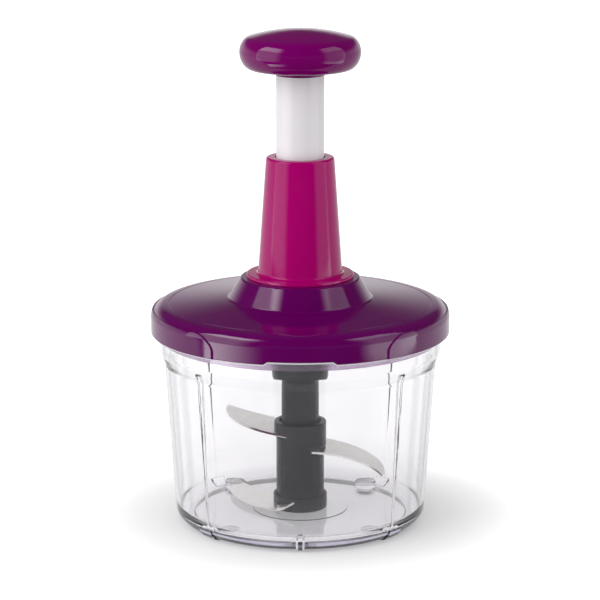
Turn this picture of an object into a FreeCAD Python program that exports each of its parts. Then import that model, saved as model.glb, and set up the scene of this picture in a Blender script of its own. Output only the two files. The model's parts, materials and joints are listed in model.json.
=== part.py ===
"""A plunger food chopper: clear bowl, blade unit, lid with a spiral drive, and a press knob.

The knob pushes a tube down into a tower.  A nut at the foot of the tube slides over a twisted
steel rod and turns it.  The rod turns the drive socket through a ratchet, and the socket turns
the blade unit, which stands on a steel pin in the floor of the bowl.  A spring lifts the tube.

Millimetres and degrees.  +Z is up, the object stands on z = 0 on the axis of the bowl, and the
front, with the notch of the lid, is at -Y.
"""
import FreeCAD, Part
import math
import os
import re

import Sketcher

Vector = FreeCAD.Vector
Rotation = FreeCAD.Rotation

# The driving dimensions.  Heights are above the table unless the name says otherwise.
SIZES = {
    # bowl
    "foot_in": 6.9,
    "foot_ring_w": 3.2,
    "foot_h": 3.0,
    "floor_t": 2.2,
    "wall_spread": 6.1,
    "wall_low_z": 2.6,
    "wall_high_z": 91.5,
    "wall_t": 2.4,
    "corner_round": 7.5,
    "inner_round": 6.5,
    "neck_r": 78.6,
    "neck_step": 2.6,
    "neck_taper_h": 6.7,
    "neck_h": 9.3,
    "neck_t": 2.2,
    "ledge_t": 0.9,
    "ledge_w": 3.7,
    "rim_h": 7.0,
    "disc_r": 26.7,
    "disc_h": 0.4,
    "rib_w": 3.4,
    "rib_low_depth": 1.2,
    "rib_high_depth": 3.2,
    "rib_short": 0.5,
    "rib_foot_h": 3.0,
    "rib_turn": 47.0,
    "lug_half_low": 19.6,
    "lug_half_high": 17.5,
    "lug_rise": 1.5,
    "gate_rib_w": 3.4,
    "gate_rib_proud": 0.7,
    "gate_rib_top": 11.0,
    "foot_pad_r": 4.6,
    "foot_pad_in": 9.0,
    # pivot pin in the floor
    "pin_r": 3.0,
    "pin_h": 15.0,
    "pin_head_r": 6.0,
    "pin_head_t": 0.8,
    "pin_seat": 0.6,
    # lid
    "skirt_over": 0.3,
    "skirt_h": 9.0,
    "skirt_t": 2.4,
    "shoulder_w": 6.4,
    "shoulder_h": 6.75,
    "shoulder_round": 6.7,
    "plate_rise": 3.05,
    "seam_inset": 3.0,
    "seam_w": 0.8,
    "seam_depth": 0.5,
    "boss_margin": 3.3,
    "boss_w": 6.8,
    "boss_h": 11.8,
    "boss_round": 0.8,
    "lid_t": 2.4,
    "seat_over": 1.6,
    "plug_t": 2.2,
    "plug_reach": 7.8,
    "grip_turn": 35.0,
    "grip_proud": 0.8,
    "grip_over": 3.6,
    "grip_round": 6.5,
    # seal and inner cover
    "seal_t": 1.5,
    "seal_drop": 3.7,
    "seal_flange": 3.4,
    "seal_flange_t": 1.3,
    "cover_t": 2.0,
    "cover_hole_w": 2.2,
    "screw_post_r": 4.2,
    "screw_post_in": 16.3,
    "cover_screw_r": 1.4,
    "cover_screw_len": 9.0,
    "cover_screw_head_r": 3.0,
    "cover_screw_head_t": 1.5,
    # tower
    "tower_h": 65.3,
    "tower_top_t": 2.9,
    "tower_spread": 4.6,
    "flange_w": 6.4,
    "flange_t": 2.2,
    "tower_lip_gap": 0.55,
    "tower_lip_t": 1.3,
    "tower_top_round": 1.2,
    "tower_foot_round": 1.2,
    "spigot_t": 2.4,
    "spigot_h": 8.0,
    "tower_floor_t": 2.0,
    "keyway_depth": 1.4,
    "keyway_w": 4.4,
    "bush_h": 12.8,
    "bush_t": 2.35,
    "rod_bush_flange_t": 1.0,
    "rod_bush_flange_w": 2.0,
    "tower_screw_in": 2.6,
    "tower_screw_r": 1.3,
    "tower_screw_len": 10.0,
    "tower_screw_head_r": 2.2,
    "tower_screw_head_t": 1.8,
    # plunger
    "tube_r": 13.35,
    "tube_t": 1.75,
    "press_gap": 1.4,
    "tube_neck_in": 1.5,
    "tube_neck_h": 7.9,
    "tube_web_t": 2.0,
    "stroke": 44.0,
    "spring_closed": 12.0,
    "knob_r": 33.4,
    "knob_rise": 5.7,
    "knob_side_h": 15.2,
    "knob_under_rise": 3.3,
    "knob_low_w": 0.6,
    "collar_h": 1.0,
    "knob_upper_round": 7.6,
    "knob_lower_round": 8.4,
    "knob_t": 2.6,
    "knob_seam_in": 7.9,
    "collar_w": 0.55,
    "knob_cap_t": 2.4,
    "knob_lap": 3.0,
    "knob_screw_r": 1.6,
    "knob_screw_len": 12.0,
    "knob_screw_head_r": 3.4,
    "knob_screw_head_t": 2.2,
    # nut, spring and twisted rod
    "nut_flange_t": 3.0,
    "nut_h": 9.0,
    "nut_ear_w": 3.8,
    "spring_r": 12.6,
    "spring_wire_r": 0.65,
    "spring_turns": 8.0,
    "spring_clear": 0.05,
    "rod_r": 3.7,
    "rod_flat": 1.6,
    "rod_lead": 40.0,
    "rod_lift": 0.4,
    "rod_in_hub": 3.0,
    "rod_above_nut": 2.0,
    # ratchet and drive socket
    "hub_disc_r": 17.5,
    "washer_gap": 0.1,
    "hub_disc_t": 7.0,
    "hub_boss_r": 8.6,
    "journal_r": 6.0,
    "hub_stub": 9.0,
    "pawl_t": 4.0,
    "tooth_gap": 2.1,
    "tooth_depth": 2.4,
    "ring_wall": 4.9,
    "ring_h": 8.0,
    "socket_flange_gap": 0.4,
    "socket_flange_t": 1.8,
    "socket_r": 15.8,
    "socket_len": 32.6,
    "socket_round": 4.6,
    "socket_web_t": 9.0,
    "hex_half": 8.8,
    "hex_h": 15.0,
    "washer_r": 12.0,
    "washer_t": 0.7,
    "socket_bush_flange_w": 3.0,
    "socket_bush_flange_t": 0.8,
    # blade unit
    "shaft_r": 10.55,
    "core_in": 1.55,
    "hex_sink": 6.4,
    "sleeve_r": 13.5,
    "upper_hub_step": 1.2,
    "lower_hub_step": 1.7,
    "lower_hub_h": 8.1,
    "hubs_apart": 42.3,
    "cup_gap": 1.35,
    "cup_depth": 2.8,
    "step_left_drop": 8.6,
    "step_right_drop": 14.2,
    "step_lap": 6.0,
    "sleeve_sink": 1.2,
    "pivot_bush_r": 6.0,
    "pivot_bush_cap": 1.2,
    "blade_t": 1.2,
    "blade_bevel": 1.3,
    "blade_bevel_h": 0.7,
    "upper_blade_turn": 138.2,
    "upper_blade_drop": 6.4,
    "upper_blade_tilt": 4.2,
    "upper_blade_room": 12.2,
    "upper_blade_edge_x": -2.3,
    "upper_blade_edge_y": 14.5,
    "upper_blade_edge_round": 49.8,
    "upper_blade_back_x": 6.0,
    "upper_blade_back_y": -12.0,
    "upper_blade_back_round": 130.0,
    "middle_blade_turn": -37.2,
    "middle_blade_drop": 14.2,
    "middle_blade_tilt": -8.0,
    "middle_blade_room": 11.0,
    "middle_blade_edge_x": -9.0,
    "middle_blade_edge_y": 10.5,
    "middle_blade_edge_round": 42.0,
    "middle_blade_back_x": 12.0,
    "middle_blade_back_y": -6.0,
    "middle_blade_back_round": 34.0,
    "lower_blade_turn": 130.5,
    "lower_blade_lift": 2.4,
    "lower_blade_tilt": 0.0,
    "lower_blade_room": 10.7,
    "lower_blade_edge_x": -8.0,
    "lower_blade_edge_y": 19.0,
    "lower_blade_edge_round": 52.0,
    "lower_blade_back_x": 12.0,
    "lower_blade_back_y": 2.0,
    "lower_blade_back_round": 72.0,
    # clearances
    "fit": 0.06,
    "gap": 0.3,
    "face_gap": 0.2,
    "seal_gap": 0.34,
    "notch_gap": 0.1,
    "overshoot": 1.0,
}

# Counts are not lengths, so they stay out of the sheet.
COVER_SCREWS = 4
TOWER_SCREWS = 3
PAWLS = 3
TEETH = 12
FOOT_PADS = 4

# Sizes that follow from the driving ones.
DERIVED = {
    "floor_top": "foot_h + floor_t",
    "wall_high_r": "neck_r - neck_step",
    "wall_low_r": "wall_high_r - wall_spread",
    "foot_r": "wall_low_r - foot_in",
    "foot_pad_at_r": "foot_r - foot_pad_in",
    "neck_low_z": "wall_high_z + neck_taper_h",
    "rib_top": "wall_high_z - rib_short",
    "ledge_z": "neck_low_z + neck_h",
    "ledge_r": "neck_r + ledge_w",
    "ledge_top": "ledge_z + ledge_t",
    "rim_top": "ledge_top + rim_h",
    "rim_in_r": "neck_r - neck_t",
    "skirt_r": "ledge_r + skirt_over",
    "shoulder_z": "ledge_top + skirt_h",
    "grip_top": "shoulder_z + grip_over",
    "crown_r": "skirt_r - shoulder_w",
    "crown_z": "shoulder_z + shoulder_h",
    "seam_r": "crown_r - seam_inset",
    "boss_top_r": "flange_r + boss_margin",
    "boss_low_r": "boss_top_r + boss_w",
    "boss_low_z": "crown_z + plate_rise",
    "boss_top_z": "boss_low_z + boss_h",
    "plate_slope": "plate_rise / (crown_r - boss_low_r)",
    "lid_in_r": "skirt_r - skirt_t",
    "seat_z": "rim_top + seat_over",
    "plug_r": "rim_in_r - seal_gap - seal_t - fit",
    "plug_in_r": "plug_r - plug_t",
    "screw_post_at_r": "plug_in_r - screw_post_in",
    "plug_low_z": "rim_top - plug_reach",
    "seal_in_r": "plug_r + fit",
    "seal_r": "seal_in_r + seal_t",
    "cover_top": "plug_low_z + cover_t",
    "tower_bore_r": "tube_r + gap + bush_t",
    "tower_lip_r": "tube_r + tower_lip_gap",
    "tower_top_r": "tower_bore_r + tower_top_t",
    "tower_low_r": "tower_top_r + tower_spread",
    "flange_r": "tower_low_r + flange_w",
    "flange_top": "boss_top_z + flange_t",
    "tower_top": "flange_top + tower_h",
    "spigot_r": "tower_bore_r + spigot_t",
    "tower_floor_z": "boss_top_z - spigot_h",
    "tower_screw_at_r": "tower_low_r - tower_screw_in",
    "spring_seat": "tower_floor_z + tower_floor_t",
    "nut_low": "spring_seat + spring_closed + stroke",
    "nut_top": "nut_low + nut_h",
    "tube_low": "nut_low + nut_flange_t",
    "tube_top": "tower_top + stroke + press_gap",
    "tube_bore": "tube_r - tube_t",
    "tube_neck_r": "tube_r - tube_neck_in",
    "bush_top": "tower_top - tower_lip_t",
    "bush_low": "bush_top - bush_h",
    "bush_bore": "tower_bore_r - bush_t",
    "rod_top": "nut_top + rod_above_nut",
    "rod_start": "spring_seat + rod_lift",
    "rod_low": "hub_disc_z - hub_stub + rod_in_hub",
    "hub_disc_z": "socket_flange_top + washer_t + washer_gap",
    "hub_top": "hub_disc_z + hub_disc_t",
    "hub_shoulder": "tower_floor_z - rod_bush_flange_t - face_gap",
    "tooth_r": "hub_disc_r + tooth_gap",
    "ring_r": "tooth_r + ring_wall",
    "cover_hole_r": "socket_r + cover_hole_w",
    "socket_bush_flange_r": "cover_hole_r + socket_bush_flange_w",
    "socket_flange_z": "cover_top + socket_bush_flange_t + socket_flange_gap",
    "socket_flange_top": "socket_flange_z + socket_flange_t",
    "socket_low_z": "socket_flange_z - socket_len",
    "hex_z": "socket_low_z + hex_sink",
    "shaft_top": "hex_z + hex_h",
    "core_r": "shaft_r - core_in",
    "upper_hub_r": "sleeve_r + upper_hub_step",
    "lower_hub_r": "sleeve_r + lower_hub_step",
    "lower_hub_z": "floor_top + disc_h + face_gap",
    "lower_hub_top": "lower_hub_z + lower_hub_h",
    "upper_hub_top": "lower_hub_top + hubs_apart",
    "hub_cup_r": "shaft_r + cup_gap",
    "shaft_shoulder_z": "upper_hub_top - cup_depth",
    "step_left_z": "upper_hub_top - step_left_drop",
    "step_right_z": "upper_hub_top - step_right_drop",
    "upper_blade_z": "upper_hub_top - upper_blade_drop",
    "middle_blade_z": "upper_hub_top - middle_blade_drop",
    "lower_blade_z": "lower_hub_z + lower_blade_lift",
    "upper_blade_reach": "wall_low_r - upper_blade_room",
    "middle_blade_reach": "wall_low_r - middle_blade_room",
    "lower_blade_reach": "wall_low_r - lower_blade_room",
    "pin_top": "floor_top + pin_h",
    "pin_low": "foot_h + pin_seat",
    "bush_cap_z": "pin_top + face_gap",
    "bush_end_z": "bush_cap_z + pivot_bush_cap",
    "sleeve_low": "lower_hub_top - sleeve_sink",
    "hub_foot_z": "lower_hub_z + face_gap * 2",
    "collar_r": "tube_r + collar_w",
    "knob_low_r": "collar_r + knob_low_w",
    "knob_seam_r": "knob_r - knob_seam_in",
    "knob_under_z": "tube_top + collar_h",
    "knob_low_z": "knob_under_z + knob_under_rise",
    "knob_brow_z": "knob_low_z + knob_side_h",
    "knob_top": "knob_brow_z + knob_rise",
    "knob_hub_top": "tube_top + tube_neck_h + knob_cap_t",
    "knob_dome_r": "(knob_r * knob_r + knob_rise * knob_rise) / (2 * knob_rise)",
}

doc = FreeCAD.newDocument("food_chopper")
sheet = doc.addObject("Spreadsheet::Sheet", "sizes")
for row, (word, size) in enumerate(SIZES.items(), start=1):
    sheet.set(f"A{row}", word)
    sheet.set(f"B{row}", str(size))
    sheet.setAlias(f"B{row}", word)
doc.recompute()

NAMED = re.compile(r"\b[a-z][a-z_]+\b")
FUNCTIONS = ("sin", "cos", "tan", "asin", "sqrt", "deg")


def formula(text):
    """Spell out derived names, and point the driving ones at the sheet."""
    def spell(match):
        word = match.group(0)
        if word in DERIVED:
            return f"({formula(DERIVED[word])})"
        if word in FUNCTIONS:
            return word
        return f"sizes.{word}"
    return NAMED.sub(spell, str(text))


def number(text):
    """The value of a formula."""
    return float(sheet.evalExpression(formula(text)))


def plane_of(body, role):
    """One of a body's own origin planes or axes."""
    return next(item for item in body.Origin.OriginFeatures if item.Role == role)


class Piece:
    """A moulded, turned or pressed piece: one body and the features that shape it."""

    def __init__(self, label):
        self.body = doc.addObject("PartDesign::Body", label)
        self.body.Label = label
        self.count = 0

    def add(self, kind, name):
        """Add a feature or a sketch to the body."""
        self.count += 1
        return self.body.newObject(kind, f"{self.body.Name}_{name}_{self.count}")

    def sketch(self, name, plane, lift="0", turn="0"):
        """An empty sketch on an origin plane, lifted off it and turned about the axis Z."""
        drawing = self.add("Sketcher::SketchObject", name)
        drawing.AttachmentSupport = [(plane_of(self.body, plane), "")]
        drawing.MapMode = "FlatFace"
        if str(turn) != "0":
            axis = Vector(0, 0, 1) if plane == "XY_Plane" else Vector(0, 1, 0)
            drawing.AttachmentOffset = FreeCAD.Placement(Vector(), Rotation(axis, 1.0))
            drawing.setExpression("AttachmentOffset.Rotation.Angle", formula(turn))
        if str(lift) != "0":
            drawing.setExpression("AttachmentOffset.Base.z", formula(lift))
        return drawing

    def outline(self, corners, name="outline", plane="XZ_Plane", lift="0", turn="0"):
        """A closed outline.  A corner with a radius and a side starts an arc, not a line."""
        drawing = self.sketch(name, plane, lift, turn)
        draw_outline(drawing, corners)
        return drawing

    def rounds(self, circles, name="rounds", lift="0", plane="XY_Plane"):
        """Circles, each given by its centre and radius."""
        drawing = self.sketch(name, plane, lift)
        for across, up, radius in circles:
            spot = Vector(number(across), number(up), 0)
            item = drawing.addGeometry(Part.Circle(spot, Vector(0, 0, 1), number(radius)), False)
            bind_point(drawing, item, 3, across, up)
            index = drawing.addConstraint(Sketcher.Constraint("Radius", item, number(radius)))
            drawing.setExpression(f"Constraints[{index}]", formula(radius))
        return drawing

    def turned(self, corners, cut=False, angle="360", plane="XZ_Plane"):
        """Turn an outline about the axis, as a solid or as a cut."""
        drawing = self.outline(corners, "profile", plane)
        kind = "PartDesign::Groove" if cut else "PartDesign::Revolution"
        feature = self.add(kind, "groove" if cut else "turned")
        feature.Profile = drawing
        feature.ReferenceAxis = (drawing, ["V_Axis"])
        feature.Angle = number(angle)
        if str(angle) != "360":
            feature.setExpression("Angle", formula(angle))
            feature.Midplane = True
        doc.recompute()
        return feature

    def pad(self, drawing, length, both=False, cut=False, down=False):
        """Pad or pocket a sketch by a length, from its plane or to both sides of it."""
        feature = self.add("PartDesign::Pocket" if cut else "PartDesign::Pad", "cut" if cut else "pad")
        feature.Profile = drawing
        feature.setExpression("Length", formula(length))
        if both:
            feature.Midplane = True
        # A pocket goes against the normal of its sketch, a pad along it.
        feature.Reversed = down != cut
        doc.recompute()
        return feature

    def coil(self, drawing, pitch, height, cut=False):
        """Sweep a sketch along a right-handed helix about the axis."""
        kind = "PartDesign::SubtractiveHelix" if cut else "PartDesign::AdditiveHelix"
        feature = self.add(kind, "coil")
        feature.Profile = drawing
        feature.Mode = "pitch-height-angle"
        feature.ReferenceAxis = (plane_of(self.body, "Z_Axis"), [""])
        feature.setExpression("Pitch", formula(pitch))
        feature.setExpression("Height", formula(height))
        doc.recompute()
        return feature

    def around(self, features, count):
        """Repeat features evenly about the axis."""
        feature = self.add("PartDesign::PolarPattern", "pattern")
        feature.Originals = features
        feature.Axis = (plane_of(self.body, "Z_Axis"), [""])
        feature.Angle = 360
        feature.Occurrences = count
        self.body.Tip = feature
        doc.recompute()
        return feature

    def soften(self, rings, radius, kind="Fillet"):
        """Round or chamfer the circular edges at the given radii and heights."""
        last = self.body.Tip
        wanted = [(number(r), number(z)) for r, z in rings]
        names = []
        for index, edge in enumerate(last.Shape.Edges, start=1):
            if edge.Degenerated or edge.Curve.TypeId != "Part::GeomCircle":
                continue
            if abs(edge.Curve.Center.x) > 0.01:
                continue
            here = (edge.Curve.Radius, edge.Curve.Center.z)
            if any(math.dist(here, want) < 0.02 for want in wanted):
                names.append(f"Edge{index}")
        feature = self.add(f"PartDesign::{kind}", kind.lower())
        feature.Base = (last, names)
        size = "Radius" if kind == "Fillet" else "Size"
        feature.setExpression(size, formula(radius))
        doc.recompute()
        return feature


def bind_point(drawing, item, point, across, up):
    """Tie a point of a sketch to two formulas."""
    for kind, text in (("DistanceX", across), ("DistanceY", up)):
        value = number(text)
        index = drawing.addConstraint(Sketcher.Constraint(kind, -1, 1, item, point, value))
        drawing.setExpression(f"Constraints[{index}]", formula(text))


def arc_middle(start, end, radius, side):
    """The middle of an arc that leaves the chord by its rise, to the left for side 1."""
    chord = end - start
    rise = radius - math.sqrt(radius ** 2 - (chord.Length / 2) ** 2)
    normal = Vector(-chord.y, chord.x, 0).normalize()
    return (start + end) / 2 + normal * rise * side


def draw_outline(drawing, corners):
    """Draw a closed outline of lines and arcs with every corner tied to the sheet."""
    spots = [Vector(number(corner[0]), number(corner[1]), 0) for corner in corners]
    count = len(corners)
    first = []
    last = []
    arcs = []
    for index, corner in enumerate(corners):
        start = spots[index]
        end = spots[(index + 1) % count]
        if len(corner) == 2:
            item = drawing.addGeometry(Part.LineSegment(start, end), False)
            first.append((item, 1))
            last.append((item, 2))
            continue
        middle = arc_middle(start, end, number(corner[2]), corner[3])
        item = drawing.addGeometry(Part.Arc(start, middle, end), False)
        swapped = (drawing.getPoint(item, 1) - start).Length > 1e-6
        first.append((item, 2 if swapped else 1))
        last.append((item, 1 if swapped else 2))
        arcs.append((item, corner[2]))
    joins = []
    for index in range(count):
        following = first[(index + 1) % count]
        joins.append(Sketcher.Constraint("Coincident", *last[index], *following))
    drawing.addConstraint(joins)
    for index, corner in enumerate(corners):
        bind_point(drawing, *first[index], corner[0], corner[1])
    for item, radius in arcs:
        index = drawing.addConstraint(Sketcher.Constraint("Radius", item, number(radius)))
        drawing.setExpression(f"Constraints[{index}]", formula(radius))


def ring(inner, outer, low, high):
    """The outline of a plain ring."""
    return [(inner, low), (outer, low), (outer, high), (inner, high)]


def boolean(kind, label, base, tools):
    """A boolean of whole pieces, under the label of the piece that results."""
    result = doc.addObject(f"Part::{kind}", f"{label}_{kind.lower()}")
    if kind == "Cut":
        result.Base = base
        result.Tool = tools[0]
    else:
        result.Shapes = [base, *tools]
    result.Label = label
    doc.recompute()
    return result


def less(label, base, tools):
    """A piece moulded round others: the base with each tool cut out of it in turn."""
    for index, tool in enumerate(tools):
        base = boolean("Cut", label if index == len(tools) - 1 else f"{label}_step", base, [tool])
    return base


def round_group(label, count, at_r, first_turn, sections):
    """Equal turned parts, such as screws, evenly spaced on a circle about the axis."""
    members = []
    for index in range(count):
        stack = []
        for low_r, high_r, low, high in sections:
            section = doc.addObject("Part::Cone", f"{label}_section")
            section.setExpression("Radius1", formula(low_r))
            section.setExpression("Radius2", formula(high_r))
            section.setExpression("Height", formula(f"({high}) - ({low})"))
            turn = f"({first_turn}) + {360 / count * index}"
            section.setExpression("Placement.Base.x", formula(f"({at_r}) * cos(({turn}) * 1 deg)"))
            section.setExpression("Placement.Base.y", formula(f"({at_r}) * sin(({turn}) * 1 deg)"))
            section.setExpression("Placement.Base.z", formula(low))
            stack.append(section)
        member = stack[0]
        if len(stack) > 1:
            member = boolean("MultiFuse", f"{label}_{index + 1}", stack[0], stack[1:])
        members.append(member)
    group = doc.addObject("Part::Compound", label)
    group.Links = members
    group.Label = label
    doc.recompute()
    return group


# Bowl body

def make_pivot_pin():
    """The steel pin, with the head that is moulded into the floor."""
    pin = Piece("pivot_pin")
    pin.turned([
        ("0", "pin_low"), ("pin_head_r", "pin_low"), ("pin_head_r", "pin_low + pin_head_t"),
        ("pin_r", "pin_low + pin_head_t"), ("pin_r", "pin_top"), ("0", "pin_top"),
    ])
    pin.soften([("pin_r", "pin_top")], "pin_r / 4")
    return pin.body


def make_bowl(pin):
    """The clear bowl: foot ring, tapered wall, neck, ledge with its lug, and four ribs."""
    bowl = Piece("bowl_blank")
    bowl.turned([
        ("0", "0"), ("foot_r", "0"), ("wall_low_r", "wall_low_z"), ("wall_high_r", "wall_high_z"),
        ("neck_r", "neck_low_z"), ("neck_r", "rim_top"), ("0", "rim_top"),
    ])
    bowl.soften([("wall_low_r", "wall_low_z")], "corner_round")
    bowl.soften([("wall_high_r", "wall_high_z"), ("neck_r", "neck_low_z")], "neck_t")

    # The ledge runs round to the lug at the front, which steps up and down again.
    low_turn = "asin(lug_half_low / ledge_r) / 1 deg"
    high_turn = "asin(lug_half_high / ledge_r) / 1 deg"
    root_r = "neck_r - neck_t / 2"
    bowl.turned(ring(root_r, "ledge_r", "ledge_z", "ledge_top"),
                angle=f"360 - 2 * {low_turn}", plane="YZ_Plane")
    bowl.turned(ring(f"-({root_r})", "-(ledge_r)", "ledge_z + lug_rise", "ledge_top + lug_rise"),
                angle=f"2 * {high_turn}", plane="YZ_Plane")
    for side in ("", "-"):
        slope = bowl.add("PartDesign::AdditiveLoft", "slope")
        slope.Profile = bowl.outline(ring(root_r, "ledge_r", "ledge_z", "ledge_top"), "low_end",
                                     turn=f"{side}{low_turn} - 90")
        slope.Sections = [bowl.outline(
            ring(root_r, "ledge_r", "ledge_z + lug_rise", "ledge_top + lug_rise"), "high_end",
            turn=f"{side}{high_turn} - 90")]
        bowl.body.Tip = slope
        doc.recompute()

    # Cavity, then the ribs on its wall, then the recess inside the foot ring.
    low_in = "wall_low_r - wall_t + (floor_top - wall_low_z) * (wall_high_r - wall_low_r) / " \
             "(wall_high_z - wall_low_z)"
    bowl.turned([
        ("0", "floor_top + disc_h"), ("disc_r", "floor_top + disc_h"), ("disc_r", "floor_top"),
        (low_in, "floor_top"), ("wall_high_r - wall_t", "wall_high_z"),
        ("rim_in_r", "neck_low_z"), ("rim_in_r", "rim_top + overshoot"), ("0", "rim_top + overshoot"),
    ], cut=True)
    bowl.soften([(low_in, "floor_top")], "inner_round")
    wall_in_at_top = "wall_low_r - wall_t + (rib_top - wall_low_z) * " \
                     "(wall_high_r - wall_low_r) / (wall_high_z - wall_low_z)"
    for side in ("", "-"):
        rib = bowl.outline([
            (f"{side}({low_in} - rib_low_depth - overshoot)", "floor_top - floor_t / 2"),
            (f"{side}({low_in} + wall_t / 2)", "floor_top + corner_round"),
            (f"{side}({wall_in_at_top} + wall_t / 2)", "rib_top"),
            (f"{side}({wall_in_at_top} - rib_high_depth)", "rib_top"),
            (f"{side}({low_in} - rib_low_depth)", "floor_top + rib_foot_h"),
        ], "rib", turn=f"{side}(rib_turn - 90)")
        mirrored = bowl.pad(rib, "rib_w", both=True)
        mirror = bowl.add("PartDesign::Mirrored", "mirror")
        mirror.Originals = [mirrored]
        mirror.MirrorPlane = (plane_of(bowl.body, "XZ_Plane"), [""])
        bowl.body.Tip = mirror
        doc.recompute()
    foot_in = "foot_r - foot_ring_w"
    bowl.turned([
        ("0", "-overshoot"), (foot_in, "-overshoot"), (foot_in, "foot_h"), ("0", "foot_h"),
    ], cut=True)

    # The gate rib is a short upright rib on the foot at the front.
    gate = bowl.outline([
        ("-(foot_r - foot_ring_w / 2)", "gap"),
        ("-(foot_r + gate_rib_proud)", "gap", "corner_round", 1),
        ("-(wall_low_r + gate_rib_proud)", "corner_round"),
        ("-(wall_low_r + gate_rib_proud)", "gate_rib_top"),
        ("-(wall_low_r - wall_t / 2)", "gate_rib_top"),
        ("-(wall_low_r - wall_t / 2)", "corner_round"),
    ], "gate_rib", plane="YZ_Plane")
    bowl.pad(gate, "gate_rib_w", both=True)
    return less("bowl", bowl.body, [pin])


def make_foot_pads():
    """Four small clear pads under the floor, inside the foot ring."""
    return round_group("foot_pads", FOOT_PADS, "foot_pad_at_r", "45",
                       [("foot_pad_r", "foot_pad_r", "0", "foot_h")])


# Lid body

def make_lid_shell():
    """The lid: skirt with grip pads and notch, plate with its seam, and the boss."""
    lid = Piece("lid_shell")
    across = "skirt_r + grip_proud"
    grips = lid.outline([
        (f"-({across}) * cos(grip_turn * 1 deg)", "ledge_top"),
        (f"({across}) * cos(grip_turn * 1 deg)", "ledge_top"),
        (f"({across}) * cos(grip_turn * 1 deg)", "grip_top - grip_round", "grip_round", -1),
        (f"({across}) * cos(grip_turn * 1 deg) - grip_round", "grip_top"),
        (f"-({across}) * cos(grip_turn * 1 deg) + grip_round", "grip_top", "grip_round", -1),
        (f"-({across}) * cos(grip_turn * 1 deg)", "grip_top - grip_round"),
    ], "grips", plane="YZ_Plane")
    lid.pad(grips, f"2 * ({across}) + 4 * overshoot", both=True)
    beyond = f"1.5 * ({across})"
    lid.turned([
        (across, "ledge_top - overshoot"), (across, "shoulder_z", "shoulder_round", -1),
        ("crown_r + grip_proud", "crown_z + grip_proud"), (beyond, "crown_z + grip_proud"),
        (beyond, "ledge_top - overshoot"),
    ], cut=True)
    lid.turned([
        ("0", "ledge_top"), ("skirt_r", "ledge_top"), ("skirt_r", "shoulder_z", "shoulder_round", -1),
        ("crown_r", "crown_z"), ("boss_low_r", "boss_low_z"), ("boss_top_r", "boss_top_z"),
        ("0", "boss_top_z"),
    ])
    lid.soften([("boss_top_r", "boss_top_z"), ("boss_low_r", "boss_low_z")], "boss_round")

    # The seam is a fine groove round the plate.
    seam_z = "crown_z + (crown_r - seam_r) * plate_slope"
    lid.turned([
        ("seam_r - seam_w / 2", f"{seam_z} - seam_depth"),
        ("seam_r + seam_w / 2", f"{seam_z} - seam_depth"),
        ("seam_r + seam_w / 2", f"{seam_z} + overshoot"), ("seam_r - seam_w / 2", f"{seam_z} + overshoot"),
    ], cut=True)

    # The hollow: skirt, seat for the seal, room above the inner cover, and the spigot hole.
    under = "crown_z - lid_t + (crown_r - plug_in_r) * plate_slope"
    lid.turned([
        ("0", "ledge_top - overshoot"), ("lid_in_r", "ledge_top - overshoot"), ("lid_in_r", "seat_z"),
        ("plug_in_r", "seat_z"), ("plug_in_r", under),
        ("boss_low_r - lid_t", "boss_low_z - lid_t"),
        ("boss_top_r - lid_t", "boss_top_z - lid_t"), ("spigot_r + gap", "boss_top_z - lid_t"),
        ("spigot_r + gap", "boss_top_z + overshoot"), ("0", "boss_top_z + overshoot"),
    ], cut=True)
    lid.turned(ring("plug_in_r", "plug_r", "plug_low_z", "seat_z + overshoot / 2"))
    posts = []
    for index in range(COVER_SCREWS):
        turn = 45 + 360 / COVER_SCREWS * index
        posts.append((f"screw_post_at_r * cos({turn} deg)", f"screw_post_at_r * sin({turn} deg)"))
    post_top = "crown_z - lid_t / 2 + (crown_r - screw_post_at_r - screw_post_r) * plate_slope"
    lid.pad(lid.rounds([(*spot, "screw_post_r") for spot in posts], "posts", "cover_top"),
            f"{post_top} - cover_top")
    lid.pad(lid.rounds([(*spot, "cover_screw_r") for spot in posts], "bores", "cover_top"),
            "cover_screw_len", cut=True, down=False)
    holes = []
    for index in range(TOWER_SCREWS):
        turn = 90 + 360 / TOWER_SCREWS * index
        holes.append((f"tower_screw_at_r * cos({turn} deg)", f"tower_screw_at_r * sin({turn} deg)",
                      "tower_screw_r"))
    lid.pad(lid.rounds(holes, "holes", "boss_top_z - lid_t"), "lid_t", cut=True, down=False)

    # The notch at the front fits over the lug of the bowl.
    notch = lid.outline([
        ("-lug_half_low - gap", "ledge_top - overshoot"), ("lug_half_low + gap", "ledge_top - overshoot"),
        ("lug_half_low + gap", "ledge_top"), ("lug_half_high + gap", "ledge_top + lug_rise + notch_gap"),
        ("-lug_half_high - gap", "ledge_top + lug_rise + notch_gap"), ("-lug_half_low - gap", "ledge_top"),
    ], "notch", lift="lid_in_r * cos(asin(lug_half_low / lid_in_r)) - skirt_t")
    lid.pad(notch, "4 * skirt_t", cut=True, down=False)
    return lid.body


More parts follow.
